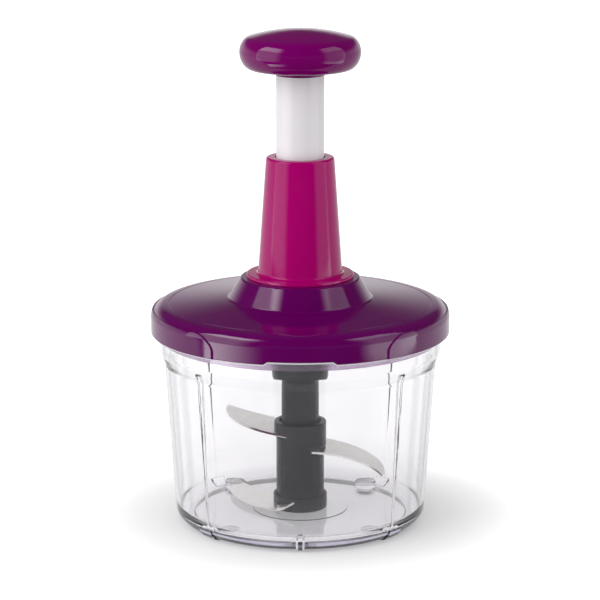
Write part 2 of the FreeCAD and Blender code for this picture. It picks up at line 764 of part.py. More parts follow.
def make_tower():
    """The tapered guide tower with its flange, its spigot through the lid and two keyways."""
    tower = Piece("tower")
    tower.turned([
        ("spigot_r", "tower_floor_z"), ("spigot_r", "boss_top_z"), ("flange_r", "boss_top_z"),
        ("flange_r", "flange_top"), ("tower_low_r", "flange_top"), ("tower_top_r", "tower_top"),
        ("tower_lip_r", "tower_top"), ("tower_lip_r", "bush_top"), ("tower_bore_r", "bush_top"),
        ("tower_bore_r", "spring_seat"), ("hub_boss_r", "spring_seat"),
        ("hub_boss_r", "tower_floor_z"),
    ])
    tower.soften([("tower_top_r", "tower_top")], "tower_top_round")
    tower.soften([("tower_low_r", "flange_top")], "tower_foot_round")
    tower.soften([("flange_r", "flange_top")], "flange_t / 3")
    reach = "tower_bore_r + keyway_depth"
    keyway = tower.outline([
        (f"-({reach})", "-keyway_w / 2"), (reach, "-keyway_w / 2"),
        (reach, "keyway_w / 2"), (f"-({reach})", "keyway_w / 2"),
    ], "keyway", plane="XY_Plane", lift="spring_seat")
    tower.pad(keyway, "bush_low - spring_seat", cut=True, down=False)
    holes = []
    for index in range(TOWER_SCREWS):
        turn = 90 + 360 / TOWER_SCREWS * index
        holes.append((f"tower_screw_at_r * cos({turn} deg)", f"tower_screw_at_r * sin({turn} deg)",
                      "tower_screw_r"))
    tower.pad(tower.rounds(holes, "holes", "boss_top_z"), "tower_screw_len - lid_t", cut=True)
    return tower.body


def make_guide_bush():
    """The bush under the lip of the tower, in which the tube slides."""
    bush = Piece("guide_bush")
    bush.turned(ring("bush_bore", "tower_bore_r", "bush_low", "bush_top"))
    bush.soften([("bush_bore", "bush_low")], "bush_t / 4", "Chamfer")
    return bush.body


def make_rod_bush():
    """The flanged bush in the floor of the tower, in which the rod hub turns."""
    bush = Piece("rod_bush")
    low = "tower_floor_z - rod_bush_flange_t"
    out = "hub_boss_r + rod_bush_flange_w"
    bush.turned([
        ("journal_r + fit", low), (out, low), (out, "tower_floor_z"), ("hub_boss_r", "tower_floor_z"),
        ("hub_boss_r", "spring_seat"), ("journal_r + fit", "spring_seat"),
    ])
    return bush.body


def make_spring():
    """The return spring between the floor of the tower and the nut."""
    spring = Piece("return_spring")
    wire = spring.rounds([("spring_r", "spring_seat + spring_wire_r + spring_clear", "spring_wire_r")],
                         "wire", plane="XZ_Plane")
    free = "nut_low - spring_seat - 2 * (spring_wire_r + spring_clear)"
    spring.coil(wire, f"({free}) / spring_turns", free)
    return spring.body


def make_seal():
    """The translucent seal round the plug of the lid, with the flange over the rim."""
    seal = Piece("lid_seal")
    seal.turned([
        ("seal_in_r", "plug_low_z - seal_drop"), ("seal_r", "plug_low_z - seal_drop"),
        ("seal_r", "seat_z - seal_flange_t"), ("seal_r + seal_flange", "seat_z - seal_flange_t"),
        ("seal_r + seal_flange", "seat_z"), ("seal_in_r", "seat_z"),
    ])
    return seal.body


def make_inner_cover(screws):
    """The disc that closes the underside of the lid, screwed to its posts."""
    cover = Piece("inner_cover_blank")
    cover.turned(ring("cover_hole_r", "plug_in_r - face_gap", "plug_low_z", "cover_top"))
    return less("inner_cover", cover.body, [screws])


def make_socket_bush():
    """The flanged bush in the inner cover, in which the drive socket turns."""
    bush = Piece("socket_bush")
    bush.turned([
        ("socket_r + 2 * fit", "plug_low_z"), ("cover_hole_r", "plug_low_z"),
        ("cover_hole_r", "cover_top"), ("socket_bush_flange_r", "cover_top"),
        ("socket_bush_flange_r", "cover_top + socket_bush_flange_t"),
        ("socket_r + 2 * fit", "cover_top + socket_bush_flange_t"),
    ])
    return bush.body


def make_cover_screws():
    """Countersunk screws up through the inner cover into the posts of the lid."""
    neck = "plug_low_z + cover_screw_head_t"
    return round_group("cover_screws", COVER_SCREWS, "screw_post_at_r", "45", [
        ("cover_screw_head_r", "cover_screw_r", "plug_low_z", neck),
        ("cover_screw_r", "cover_screw_r", neck, "cover_top + cover_screw_len - face_gap"),
    ])


def make_tower_screws():
    """Screws up through the boss of the lid into the flange of the tower."""
    low = "boss_top_z - lid_t"
    return round_group("tower_screws", TOWER_SCREWS, "tower_screw_at_r", "90", [
        ("tower_screw_head_r", "tower_screw_head_r", f"{low} - tower_screw_head_t", low),
        ("tower_screw_r", "tower_screw_r", low, f"{low} + tower_screw_len - face_gap"),
    ])


# Plunger body

def make_knob():
    """The knob: a mushroom cap, hollow, with a ring that sits on the hub of its base."""
    knob = Piece("knob")
    knob.turned([
        ("0", "knob_under_z"), ("knob_low_r", "knob_under_z"), ("knob_r", "knob_low_z"),
        ("knob_r", "knob_brow_z", "knob_dome_r", -1), ("0", "knob_top"),
    ])
    knob.soften([("knob_r", "knob_low_z")], "knob_lower_round")
    knob.soften([("knob_r", "knob_brow_z")], "knob_upper_round")
    inner_r = "knob_r - knob_t"
    roof = "knob_brow_z - knob_t"
    knob.turned([
        ("0", "knob_under_z - overshoot"), ("knob_seam_r", "knob_under_z - overshoot"),
        ("knob_seam_r", "knob_low_z + knob_t"), (inner_r, "knob_low_z + 3 * knob_t"),
        (inner_r, roof + " - knob_t"), (f"{inner_r} - knob_t", roof), ("0", roof),
    ], cut=True)
    hub = "knob_low_r + fit"
    knob.turned(ring(hub, f"{hub} + knob_t", "knob_hub_top - knob_lap", f"{roof} + overshoot"))
    return knob.body


def make_knob_base():
    """The underside of the knob, with the hub that takes the neck of the tube."""
    base = Piece("knob_base")
    rise = "(knob_low_z - knob_under_z) / (knob_r - knob_low_r)"
    seam_z = f"knob_under_z + (knob_seam_r - knob_low_r) * {rise}"
    base.turned([
        ("tube_neck_r + fit", "tube_top"), ("collar_r", "tube_top"), ("collar_r", "knob_under_z"),
        ("knob_low_r", "knob_under_z"), ("knob_seam_r - fit", seam_z),
        ("knob_seam_r - fit", f"{seam_z} + knob_t"), ("knob_low_r", f"knob_under_z + knob_t"),
        ("knob_low_r", "knob_hub_top"), ("knob_screw_r", "knob_hub_top"),
        ("knob_screw_r", "tube_top + tube_neck_h"), ("tube_neck_r + fit", "tube_top + tube_neck_h"),
    ])
    return base.body


def make_tube():
    """The white tube: shoulder and neck for the knob, and a web that takes its screw."""
    tube = Piece("plunger_tube")
    neck_top = "tube_top + tube_neck_h"
    tube.turned([
        ("tube_bore", "tube_low"), ("tube_r", "tube_low"), ("tube_r", "tube_top"),
        ("tube_neck_r", "tube_top"), ("tube_neck_r", neck_top), ("knob_screw_r", neck_top),
        ("knob_screw_r", f"{neck_top} - knob_screw_len + 2"),
        ("2.6 * knob_screw_r", f"{neck_top} - knob_screw_len + 2"),
        ("2.6 * knob_screw_r", f"{neck_top} - tube_web_t"),
        ("tube_neck_r - tube_t", f"{neck_top} - tube_web_t"),
        ("tube_neck_r - tube_t", "tube_top - tube_t"), ("tube_bore", "tube_top - 3 * tube_t"),
    ])
    return tube.body


def make_knob_screw():
    """The screw down through the hub of the knob base into the tube."""
    screw = Piece("knob_screw")
    screw.turned([
        ("0", "knob_hub_top - knob_screw_len"), ("knob_screw_r", "knob_hub_top - knob_screw_len"),
        ("knob_screw_r", "knob_hub_top"), ("knob_screw_head_r", "knob_hub_top"),
        ("knob_screw_head_r", "knob_hub_top + knob_screw_head_t"),
        ("0", "knob_hub_top + knob_screw_head_t"),
    ])
    return screw.body


def rod_section(radius, flat):
    """The section of the twisted rod: two flats between two round ends."""
    across = f"sqrt(({radius}) * ({radius}) - ({flat}) * ({flat}))"
    return [
        (f"-{across}", f"-({flat})"), (across, f"-({flat})", radius, -1),
        (across, flat), (f"-{across}", flat, radius, -1),
    ]


def make_nut():
    """The nut at the foot of the tube, with two ears that run in the keyways."""
    nut = Piece("drive_nut")
    nut.turned([
        ("0", "nut_low"), ("tower_bore_r - gap", "nut_low"), ("tower_bore_r - gap", "tube_low"),
        ("tube_bore", "tube_low"), ("tube_bore", "nut_top"), ("0", "nut_top"),
    ])
    reach = "tower_bore_r + keyway_depth - gap"
    ears = nut.outline([
        (f"-({reach})", "-nut_ear_w / 2"), (reach, "-nut_ear_w / 2"),
        (reach, "nut_ear_w / 2"), (f"-({reach})", "nut_ear_w / 2"),
    ], "ears", plane="XY_Plane", lift="nut_low")
    nut.pad(ears, "nut_flange_t")
    slot = nut.outline(rod_section("rod_r + gap", "rod_flat + gap"), "slot", plane="XY_Plane",
                       lift="rod_start")
    nut.coil(slot, "rod_lead", "rod_top - rod_start", cut=True)
    return nut.body


# Rod body

def make_rod():
    """The twisted steel rod with a round shank in its hub."""
    rod = Piece("twist_rod")
    rod.pad(rod.rounds([("0", "0", "rod_r")], "shank", "rod_low"), "rod_start - rod_low")
    section = rod.outline(rod_section("rod_r", "rod_flat"), "section", plane="XY_Plane",
                          lift="rod_start")
    rod.coil(section, "rod_lead", "rod_top - rod_start")
    return rod.body


def make_pawls():
    """Three pawls whose tips stand against the teeth of the ratchet ring."""
    pawls = Piece("ratchet_pawls")
    pawls.body.AllowCompound = True
    tip = "tooth_r + tooth_depth - 0.5"
    pawl = pawls.outline([
        (tip, "-gap"), (f"{tip} - 0.6", "-1.6"), ("hub_disc_r - 5", "-7.5"),
        ("hub_disc_r - 6.5", "-5"), ("tooth_r - 0.6", "-gap"),
    ], "pawl", plane="XY_Plane", lift="hub_disc_z + (hub_disc_t - pawl_t) / 2")
    pawls.around([pawls.pad(pawl, "pawl_t")], PAWLS)
    return pawls.body


def make_rod_hub(pawls):
    """The hub on the foot of the rod, which carries the pawls and turns in two bearings."""
    hub = Piece("rod_hub_blank")
    stub_low = "hub_disc_z - hub_stub"
    hub.turned([
        ("0", stub_low), ("journal_r", stub_low), ("journal_r", "hub_disc_z"),
        ("hub_disc_r", "hub_disc_z"), ("hub_disc_r", "hub_top"), ("hub_boss_r", "hub_top"),
        ("hub_boss_r", "hub_shoulder"), ("journal_r", "hub_shoulder"),
        ("journal_r", "rod_start"), ("rod_r", "rod_start"), ("rod_r", "rod_low"), ("0", "rod_low"),
    ])
    return less("rod_hub", hub.body, [pawls])


# Drive body

def make_ratchet_ring():
    """The ring with the one-way teeth, on the flange of the drive socket."""
    teeth = Piece("ratchet_ring")
    teeth.turned(ring("tooth_r", "ring_r", "socket_flange_top", "socket_flange_top + ring_h"))
    root = "tooth_r + tooth_depth"
    notch = teeth.outline([
        ("tooth_r - 0.5", "0"), ("tooth_r - 0.5", "-2.4 * tooth_depth"), (root, "0"),
    ], "tooth", plane="XY_Plane", lift="socket_flange_top")
    teeth.around([teeth.pad(notch, "ring_h", cut=True)], TEETH)
    return teeth.body


def make_thrust_washer():
    """The washer between the rod hub and the drive socket."""
    washer = Piece("thrust_washer")
    washer.turned(ring("journal_r + gap", "washer_r", "socket_flange_top",
                       "socket_flange_top + washer_t"))
    return washer.body


def hexagon(half):
    """A hexagon with two sides parallel to Y, given half of its width across flats."""
    side = f"({half}) * tan(30 deg)"
    point = f"({half}) / cos(30 deg)"
    return [
        (f"-({half})", f"-{side}"), ("0", f"-{point}"), (half, f"-{side}"),
        (half, side), ("0", point), (f"-({half})", side),
    ]


def make_drive_socket():
    """The dark collar under the lid, with the hexagon that takes the blade shaft."""
    socket = Piece("drive_socket")
    top = "socket_flange_top"
    socket.turned([
        ("shaft_r + gap", "socket_low_z"), ("socket_r", "socket_low_z"),
        ("socket_r", "socket_flange_z"), ("ring_r", "socket_flange_z"), ("ring_r", top),
        ("journal_r + fit", top), ("journal_r + fit", f"{top} - socket_web_t"),
        ("shaft_r + gap", f"{top} - socket_web_t"),
    ])
    socket.soften([("socket_r", "socket_low_z")], "socket_round")
    throat = "hex_z - gap"
    socket.turned(ring("hex_half - 0.6", "shaft_r + 2 * gap", throat, f"{top} - socket_web_t + 0.5"))
    bore = socket.outline(hexagon("hex_half + gap"), "hexagon", plane="XY_Plane", lift=throat)
    socket.pad(bore, f"{top} - socket_web_t - ({throat})", cut=True)
    return socket.body


# Blade unit body

def make_blade_shaft():
    """The dark shaft with its hexagonal top and the bore for the pivot bush."""
    shaft = Piece("blade_shaft")
    shaft.turned([
        ("pivot_bush_r", "hub_foot_z"), ("core_r", "hub_foot_z"), ("core_r", "shaft_shoulder_z"),
        ("shaft_r", "shaft_shoulder_z"), ("shaft_r", "hex_z - 2 * gap"), ("0", "hex_z - 2 * gap"),
        ("0", "bush_end_z"), ("pivot_bush_r", "bush_end_z"),
    ])
    top = shaft.outline(hexagon("hex_half"), "hexagon", plane="XY_Plane", lift="hex_z - 3 * gap")
    shaft.pad(top, "hex_h + 3 * gap")
    return shaft.body


def make_pivot_bush():
    """The capped bush in the foot of the shaft, which turns on the pivot pin."""
    bush = Piece("pivot_bush")
    bush.turned([
        ("pin_r + fit", "hub_foot_z"), ("pivot_bush_r", "hub_foot_z"),
        ("pivot_bush_r", "bush_end_z"), ("0", "bush_end_z"), ("0", "bush_cap_z"),
        ("pin_r + fit", "bush_cap_z"),
    ])
    return bush.body


def make_blade(which):
    """A crescent blade: a swept outline, tilted at the hub, with a ground front edge."""
    label = f"blade_{which}"
    size = f"{which}_blade"
    blade = Piece(label)
    drawing = blade.outline([
        (f"{size}_edge_x", f"{size}_edge_y", f"{size}_edge_round", 1),
        (f"{size}_reach", "0"),
        (f"{size}_reach - blade_t", "-blade_t", f"{size}_back_round", -1),
        (f"{size}_back_x", f"{size}_back_y"), ("0", "0"),
    ], "crescent", plane="XY_Plane")
    tilt = Rotation(Vector(0, 1, 0), -number(f"{size}_tilt"))
    drawing.AttachmentOffset = FreeCAD.Placement(Vector(0, 0, number(f"{size}_z - blade_t / 2")), tilt)
    blade.pad(drawing, "blade_t")
    eye = blade.rounds([("0", "0", "core_r")], "eye", lift=f"{size}_z")
    base = blade.pad(eye, "4 * core_r", both=True, cut=True)
    radius = number(f"{size}_edge_round")
    low = number(f"{size}_z")
    names = []
    for index, edge in enumerate(base.Shape.Edges, start=1):
        on_edge = edge.Curve.TypeId == "Part::GeomCircle" and abs(edge.Curve.Radius - radius) < 0.01
        if on_edge and tilt.inverted().multVec(edge.Curve.Center - Vector(0, 0, low)).z > 0:
            names.append(f"Edge{index}")
    grind = blade.add("PartDesign::Chamfer", "bevel")
    grind.Base = (base, names)
    grind.ChamferType = "Two distances"
    grind.setExpression("Size", formula("blade_bevel_h"))
    grind.setExpression("Size2", formula("blade_bevel"))
    blade.body.Placement = FreeCAD.Placement(Vector(), Rotation(Vector(0, 0, 1), 1.0))
    blade.body.setExpression("Placement.Rotation.Angle", formula(f"{size}_turn"))
    doc.recompute()
    return blade.body


def step_wedge(piece, above):
    """Cut the sloping end between the upper hub and the sleeve, from above or below it."""
    reach = "2 * upper_hub_r"
    slope = "(step_right_z - step_left_z) / (2 * upper_hub_r)"
    middle = "(step_right_z + step_left_z) / 2"
    far = f"{middle} + upper_hub_r * 2" if above else f"{middle} - upper_hub_r * 2"
    wedge = piece.outline([
        (f"-{reach}", f"{middle} - {reach} * {slope}"), (reach, f"{middle} + {reach} * {slope}"),
        (reach, far), (f"-{reach}", far),
    ], "wedge")
    piece.pad(wedge, "4 * upper_hub_r", both=True, cut=True)


def make_upper_hub(blades):
    """The upper hub with its open cup, moulded round two of the blades."""
    hub = Piece("upper_hub_blank")
    hub.turned([
        ("core_r", "step_right_z - step_lap"), ("upper_hub_r", "step_right_z - step_lap"),
        ("upper_hub_r", "upper_hub_top"), ("hub_cup_r", "upper_hub_top"),
        ("hub_cup_r", "shaft_shoulder_z"), ("core_r", "shaft_shoulder_z"),
    ])
    step_wedge(hub, above=False)
    return less("upper_hub", hub.body, blades)


def make_middle_sleeve(blades):
    """The narrower sleeve below the upper hub, which ends in the cup of the lower hub."""
    sleeve = Piece("middle_sleeve_blank")
    sleeve.turned(ring("core_r", "sleeve_r", "sleeve_low", "step_left_z + step_lap"))
    step_wedge(sleeve, above=True)
    return less("middle_sleeve", sleeve.body, blades)


def make_lower_hub(blades):
    """The foot of the blade unit, moulded round the lower blade."""
    hub = Piece("lower_hub_blank")
    hub.turned([
        ("core_r", "lower_hub_z"), ("lower_hub_r", "lower_hub_z"), ("lower_hub_r", "lower_hub_top"),
        ("sleeve_r + 2 * gap", "lower_hub_top"), ("sleeve_r + 2 * gap", "sleeve_low"),
        ("core_r", "sleeve_low"),
    ])
    hub.soften([("lower_hub_r", "lower_hub_z")], "sleeve_sink / 2")
    return less("lower_hub", hub.body, blades)


def make_all():
    """Build every piece and give them in the order in which they stack up."""
    pin = make_pivot_pin()
    pieces = [make_bowl(pin), pin, make_foot_pads()]
    shaft = make_blade_shaft()
    upper, middle, lower = (make_blade(which) for which in ("upper", "middle", "lower"))
    pieces += [shaft, make_pivot_bush(), upper, middle, lower]
    pieces += [make_upper_hub([upper, middle]), make_middle_sleeve([upper, middle])]
    pieces += [make_lower_hub([lower])]
    pieces += [make_lid_shell(), make_tower(), make_guide_bush(), make_rod_bush(), make_spring()]
    cover_screws = make_cover_screws()
    pieces += [make_seal(), make_inner_cover(cover_screws), make_socket_bush(), cover_screws]
    pieces += [make_tower_screws()]
    pieces += [make_knob(), make_knob_base(), make_knob_screw(), make_tube(), make_nut()]
    pawls = make_pawls()
    pieces += [make_rod(), pawls, make_rod_hub(pawls)]
    pieces += [make_ratchet_ring(), make_thrust_washer(), make_drive_socket()]
    return pieces


def check(pieces):
    """Stop if any object failed, or if a piece isn't a sound solid."""
    for item in doc.Objects:
        if any(word in item.State for word in ("Invalid", "Error")):
            raise RuntimeError(f"{item.Name} ({item.Label}) did not recompute: {item.State}")
    for piece in pieces:
        if piece.Shape.isNull() or not piece.Shape.isValid() or not piece.Shape.Solids:
            raise RuntimeError(f"{piece.Label} is not a sound solid")


def write(pieces):
    """Write each piece to its own file."""
    os.makedirs("parts", exist_ok=True)
    for piece in pieces:
        piece.Shape.exportStep(f"parts/{piece.Label}.step")
        print(f"{piece.Label}: {len(piece.Shape.Solids)} solid(s), {piece.Shape.Volume:.1f} mm3")


parts = make_all()
doc.recompute()
check(parts)
write(parts)
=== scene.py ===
"""Looks of the plunger food chopper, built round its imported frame.

Each sub-assembly is a class: the bowl, the blade unit, the lid, the tower, the plunger and the
drive.  A class holds its sizes in millimetres, turns and cuts its pieces with bmesh operators,
and dresses them in one of the finishes.  +Z is up and the front, with the notch, is at -Y.
"""

import json
import logging
import math
from dataclasses import dataclass
from enum import Enum
from typing import Callable, Iterable, Optional, Sequence

import bmesh
import bpy
from mathutils import Matrix, Vector

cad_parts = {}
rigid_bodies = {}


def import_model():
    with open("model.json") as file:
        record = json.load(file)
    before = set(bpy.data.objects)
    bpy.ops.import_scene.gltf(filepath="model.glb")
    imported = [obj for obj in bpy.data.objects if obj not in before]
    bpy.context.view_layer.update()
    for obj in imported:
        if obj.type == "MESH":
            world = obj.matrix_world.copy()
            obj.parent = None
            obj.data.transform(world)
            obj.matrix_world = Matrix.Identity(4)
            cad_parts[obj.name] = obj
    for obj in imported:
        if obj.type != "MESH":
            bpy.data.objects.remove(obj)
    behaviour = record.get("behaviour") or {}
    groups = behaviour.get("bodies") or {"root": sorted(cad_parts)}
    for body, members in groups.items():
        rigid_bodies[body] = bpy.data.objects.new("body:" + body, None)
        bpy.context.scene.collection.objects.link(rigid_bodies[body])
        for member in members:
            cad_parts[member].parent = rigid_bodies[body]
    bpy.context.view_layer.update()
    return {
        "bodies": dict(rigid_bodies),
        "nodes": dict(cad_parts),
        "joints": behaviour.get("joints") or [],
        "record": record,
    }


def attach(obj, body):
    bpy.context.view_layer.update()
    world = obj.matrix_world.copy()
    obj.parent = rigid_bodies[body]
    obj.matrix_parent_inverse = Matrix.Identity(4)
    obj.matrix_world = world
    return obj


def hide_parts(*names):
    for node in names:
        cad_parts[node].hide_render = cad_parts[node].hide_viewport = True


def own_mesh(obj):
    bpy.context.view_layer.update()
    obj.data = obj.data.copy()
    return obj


log = logging.getLogger("chopper")
MM = 0.001
Colour = tuple[float, float, float]
Pair = tuple[float, float]
Plane = tuple[Sequence[float], Sequence[float]]
Picker = Callable[[Vector], bool]
Socket = bpy.types.NodeSocket


class Slot(Enum):
    """The material slots of the record."""

    CLEAR = "clear"
    PURPLE = "purple_gloss"
    MAGENTA = "magenta_gloss"
    WHITE = "white_gloss"
    DARK = "dark_plastic"
    BLADE = "blade_steel"
    STEEL = "steel"
    SEAL = "seal"
    NYLON = "nylon"


class Body(Enum):
    """The rigid bodies of the frame."""

    BOWL = "bowl_unit"
    LID = "lid"
    PLUNGER = "plunger"
    ROD = "rod"
    DRIVE = "drive"
    BLADES = "blade_unit"


class Keep(Enum):
    """Which side of a cutting plane stays, seen along the normal of the plane."""

    BELOW = "below"
    ABOVE = "above"


class Nodes:
    """A node tree that starts empty."""

    def __init__(self, tree: bpy.types.NodeTree) -> None:
        """Empty a tree and work in it."""
        self.tree = tree
        tree.nodes.clear()

    def node(self, kind: str, **settings: object) -> bpy.types.Node:
        """Add a node.

        Args:
            kind: the type of the node.
            settings: its properties, by name.

        Returns:
            The node.
        """
        made = self.tree.nodes.new(kind)
        for key, value in settings.items():
            setattr(made, key, value)
        return made

    def link(self, source: Socket, target: Socket) -> None:
        """Join two sockets."""
        self.tree.links.new(source, target)

    def split(self, vector: Socket, axis: str) -> Socket:
        """Take one axis of a vector.

        Args:
            vector: the vector.
            axis: X, Y or Z.

        Returns:
            The number.
        """
        made = self.node("ShaderNodeSeparateXYZ")
        self.link(vector, made.inputs["Vector"])
        return made.outputs[axis]

    def maths(self, operation: str, *values: Socket | float) -> Socket:
        """Work out one operation.

        Args:
            operation: its name in the node.
            values: sockets or numbers.

        Returns:
            The result.
        """
        made = self.node("ShaderNodeMath", operation=operation)
        for value, target in zip(values, made.inputs):
            if isinstance(value, (int, float)):
                target.default_value = value
            else:
                self.link(value, target)
        return made.outputs["Value"]

    def spread(self, value: Socket, low: float, high: float, seen: Pair = (0.3, 0.7),
               smooth: bool = False) -> Socket:
        """Map a value to a range.

        Args:
            value: the value.
            low: the result at the low end.
            high: the result at the high end.
            seen: the part of the value that is used.
            smooth: whether the change eases in and out.

        Returns:
            The mapped socket.
        """
        made = self.node("ShaderNodeMapRange",
                         interpolation_type="SMOOTHSTEP" if smooth else "LINEAR")
        for name, number in zip(("From Min", "From Max", "To Min", "To Max"), (*seen, low, high)):
            made.inputs[name].default_value = number
        self.link(value, made.inputs["Value"])
        return made.outputs["Result"]

    def stops(self, value: Socket, marks: Sequence[Pair], interpolation: str = "LINEAR") -> Socket:
        """Map a value by grey stops.

        Args:
            value: the value, from 0 to 1.
            marks: the place and the level of each stop, in order.
            interpolation: how the ramp runs between them.

        Returns:
            The level.
        """
        made = self.node("ShaderNodeValToRGB")
        made.color_ramp.interpolation = interpolation
        places = made.color_ramp.elements
        places[0].position, places[1].position = marks[0][0], marks[-1][0]
        for spot, _ in marks[1:-1]:
            places.new(spot)
        for place, (_, level) in zip(places, marks):
            place.color = (level, level, level, 1)
        self.link(value, made.inputs["Fac"])
        return made.outputs["Color"]


class Graph(Nodes):
    """The node tree of one material, ending in a Principled shader."""

    def __init__(self, name: str) -> None:
        """Start a material."""
        self.material = bpy.data.materials.new(name)
        self.material.use_nodes = True
        super().__init__(self.material.node_tree)
        self.output = self.node("ShaderNodeOutputMaterial")
        self.shader = self.node("ShaderNodeBsdfPrincipled")
        self.link(self.shader.outputs["BSDF"], self.output.inputs["Surface"])

    def noise(self, scale: float, detail: float = 3.0, stretch: Sequence[float] = (1, 1, 1),
              turn: float = 0.0) -> Socket:
        """A noise pattern in object coordinates.

        Args:
            scale: cells per metre.
            detail: octaves.
            stretch: how much denser the pattern gets along each turned axis.
            turn: the turn about Z, in degrees.

        Returns:
            The factor socket, about 0.5 on average.
        """
        where = self.node("ShaderNodeTexCoord").outputs["Object"]
        for name, value in (("Rotation", (0, 0, math.radians(-turn))), ("Scale", tuple(stretch))):
            placed = self.node("ShaderNodeMapping", vector_type="POINT")
            placed.inputs[name].default_value = value
            self.link(where, placed.inputs["Vector"])
            where = placed.outputs["Vector"]
        made = self.node("ShaderNodeTexNoise")
        made.inputs["Scale"].default_value = scale
        made.inputs["Detail"].default_value = detail
        self.link(where, made.inputs["Vector"])
        return made.outputs["Fac"]

    def tint(self, factor: Socket, low: Colour, high: Colour) -> None:
        """Let the base colour run from one colour to another.

        Args:
            factor: where it is between them.
            low: the colour at 0.
            high: the colour at 1.
        """
        made = self.node("ShaderNodeMix", data_type="RGBA")
        for target in made.inputs:
            if target.type == "RGBA":
                target.default_value = (*(low if target.name == "A" else high), 1)
        self.link(factor, made.inputs["Factor"])
        result = next(source for source in made.outputs if source.type == "RGBA")
        self.link(result, self.shader.inputs["Base Color"])

    def polish(self, factor: Socket, smooth: float, rough: float, seen: Pair = (0.3, 0.7)) -> None:
        """Let the roughness run between two values with a factor."""
        self.link(self.spread(factor, smooth, rough, seen), self.shader.inputs["Roughness"])

    def relief(self, *layers: tuple[Socket, float]) -> None:
        """Stack bumps on the surface.

        Args:
            layers: for each a height from 0 to 1, and what a height of 1 stands for, in metres.
        """
        under = None
        for height, depth in layers:
            made = self.node("ShaderNodeBump")
            made.inputs["Strength"].default_value = 1.0
            made.inputs["Distance"].default_value = depth
            self.link(height, made.inputs["Height"])
            if under is not None:
                self.link(under, made.inputs["Normal"])
            under = made.outputs["Normal"]
        self.link(under, self.shader.inputs["Normal"])

    def fix(self, **values: float) -> None:
        """Set plain values on the shader, by socket name with underscores for spaces."""
        for key, value in values.items():
            self.shader.inputs[key.replace("_", " ")].default_value = value


@dataclass(frozen=True)
class GlossPlastic:
    """Polished moulded plastic with faint flow marks, orange peel and handling haze."""

    name: str
    colour: Colour
    shade: Colour
    smooth: float = 0.07
    haze: float = 0.14
    specular: float = 0.25
    peel: float = 0.0000035

    def material(self) -> bpy.types.Material:
        """Build the material."""
        graph = Graph(self.name)
        flow = graph.noise(26.0, 4.0, (1, 1, 0.35))
        graph.tint(graph.spread(flow, 0.0, 1.0), self.colour, self.shade)
        graph.polish(graph.noise(55.0, 6.0), self.smooth, self.haze, (0.42, 0.78))
        graph.relief((graph.noise(620.0, 2.0), self.peel),
                     (graph.noise(900.0, 2.0, (1, 1, 30)), self.peel * 0.4))
        graph.fix(Specular_IOR_Level=self.specular, IOR=1.5)
        return graph.material


@dataclass(frozen=True)
class ClearPlastic:
    """Clear moulded plastic, a little lilac in its depth, that lets the light of the lamps by, with
    painted dark lines in its colour where it is seen edge on.
    """

    name: str
    colour: Colour
    edge: Colour
    # The colour of the painted dark lines where the plastic is seen edge on.
    dark: Colour = (0.10, 0.09, 0.13)
    shadow: Colour = (0.93, 0.925, 0.935)
    rims: tuple[Pair, ...] = ((0.0, 1.0), (0.50, 1.0), (0.55, 0.72), (0.60, 1.0), (0.70, 1.0),
                              (0.77, 0.35), (0.84, 0.9), (1.0, 0.8))
    flat_level: float = 0.93
    flat_from: Pair = (0.15, 0.45)
    density: float = 14.0
    ior: float = 1.50
    smooth: float = 0.0
    haze: float = 0.008
    wave: float = 0.000006

    def rim_shade(self, graph: Graph) -> Socket:
        """Painted light and dark lines in the colour, by how edge-on the surface is, which stand in
        for the dark refractions and reflections of clear plastic seen edge on; flat faces take one
        even level.

        Args:
            graph: the node tree.

        Returns:
            The factor, 1 where the plastic is clearest.
        """
        weight = graph.node("ShaderNodeLayerWeight")
        weight.inputs["Blend"].default_value = 0.5
        lines = graph.stops(weight.outputs["Facing"], self.rims)
        where = graph.node("ShaderNodeNewGeometry")
        tilt = graph.maths("ABSOLUTE", graph.split(where.outputs["True Normal"], "Z"))
        pick = graph.node("ShaderNodeMix")
        graph.link(graph.spread(tilt, 0.0, 1.0, self.flat_from), pick.inputs["Factor"])
        graph.link(lines, pick.inputs["A"])
        pick.inputs["B"].default_value = self.flat_level
        return pick.outputs["Result"]

    def let_light_through(self, graph: Graph) -> None:
        """Let most of the light of the lamps pass, so that the plastic throws a pale shadow.

        Args:
            graph: the node tree.
        """
        path = graph.node("ShaderNodeLightPath")
        open_to_light = graph.node("ShaderNodeBsdfTransparent")
        open_to_light.inputs["Color"].default_value = (*self.shadow, 1)
        pick = graph.node("ShaderNodeMixShader")
        graph.link(path.outputs["Is Shadow Ray"], pick.inputs[0])
        graph.link(graph.shader.outputs["BSDF"], pick.inputs[1])
        graph.link(open_to_light.outputs["BSDF"], pick.inputs[2])
        graph.link(pick.outputs["Shader"], graph.output.inputs["Surface"])

    def material(self) -> bpy.types.Material:
        """Build the material."""
        graph = Graph(self.name)
        mottle = graph.spread(graph.noise(38.0), 0.97, 1.0)
        # The colour carries painted dark lines where the plastic is seen edge on, and a faint
        # random mottle.
        graph.tint(graph.maths("MULTIPLY", self.rim_shade(graph), mottle), self.dark, self.colour)
        graph.polish(graph.noise(240.0, 8.0), self.smooth, self.haze, (0.5, 0.85))
        graph.relief((graph.noise(70.0, 1.0, (1, 1, 0.5)), self.wave))
        graph.fix(Transmission_Weight=1.0, IOR=self.ior)
        self.let_light_through(graph)
        tint = graph.node("ShaderNodeVolumeAbsorption")
        tint.inputs["Color"].default_value = (*self.edge, 1)
        tint.inputs["Density"].default_value = self.density
        graph.link(tint.outputs["Volume"], graph.output.inputs["Volume"])
        return graph.material


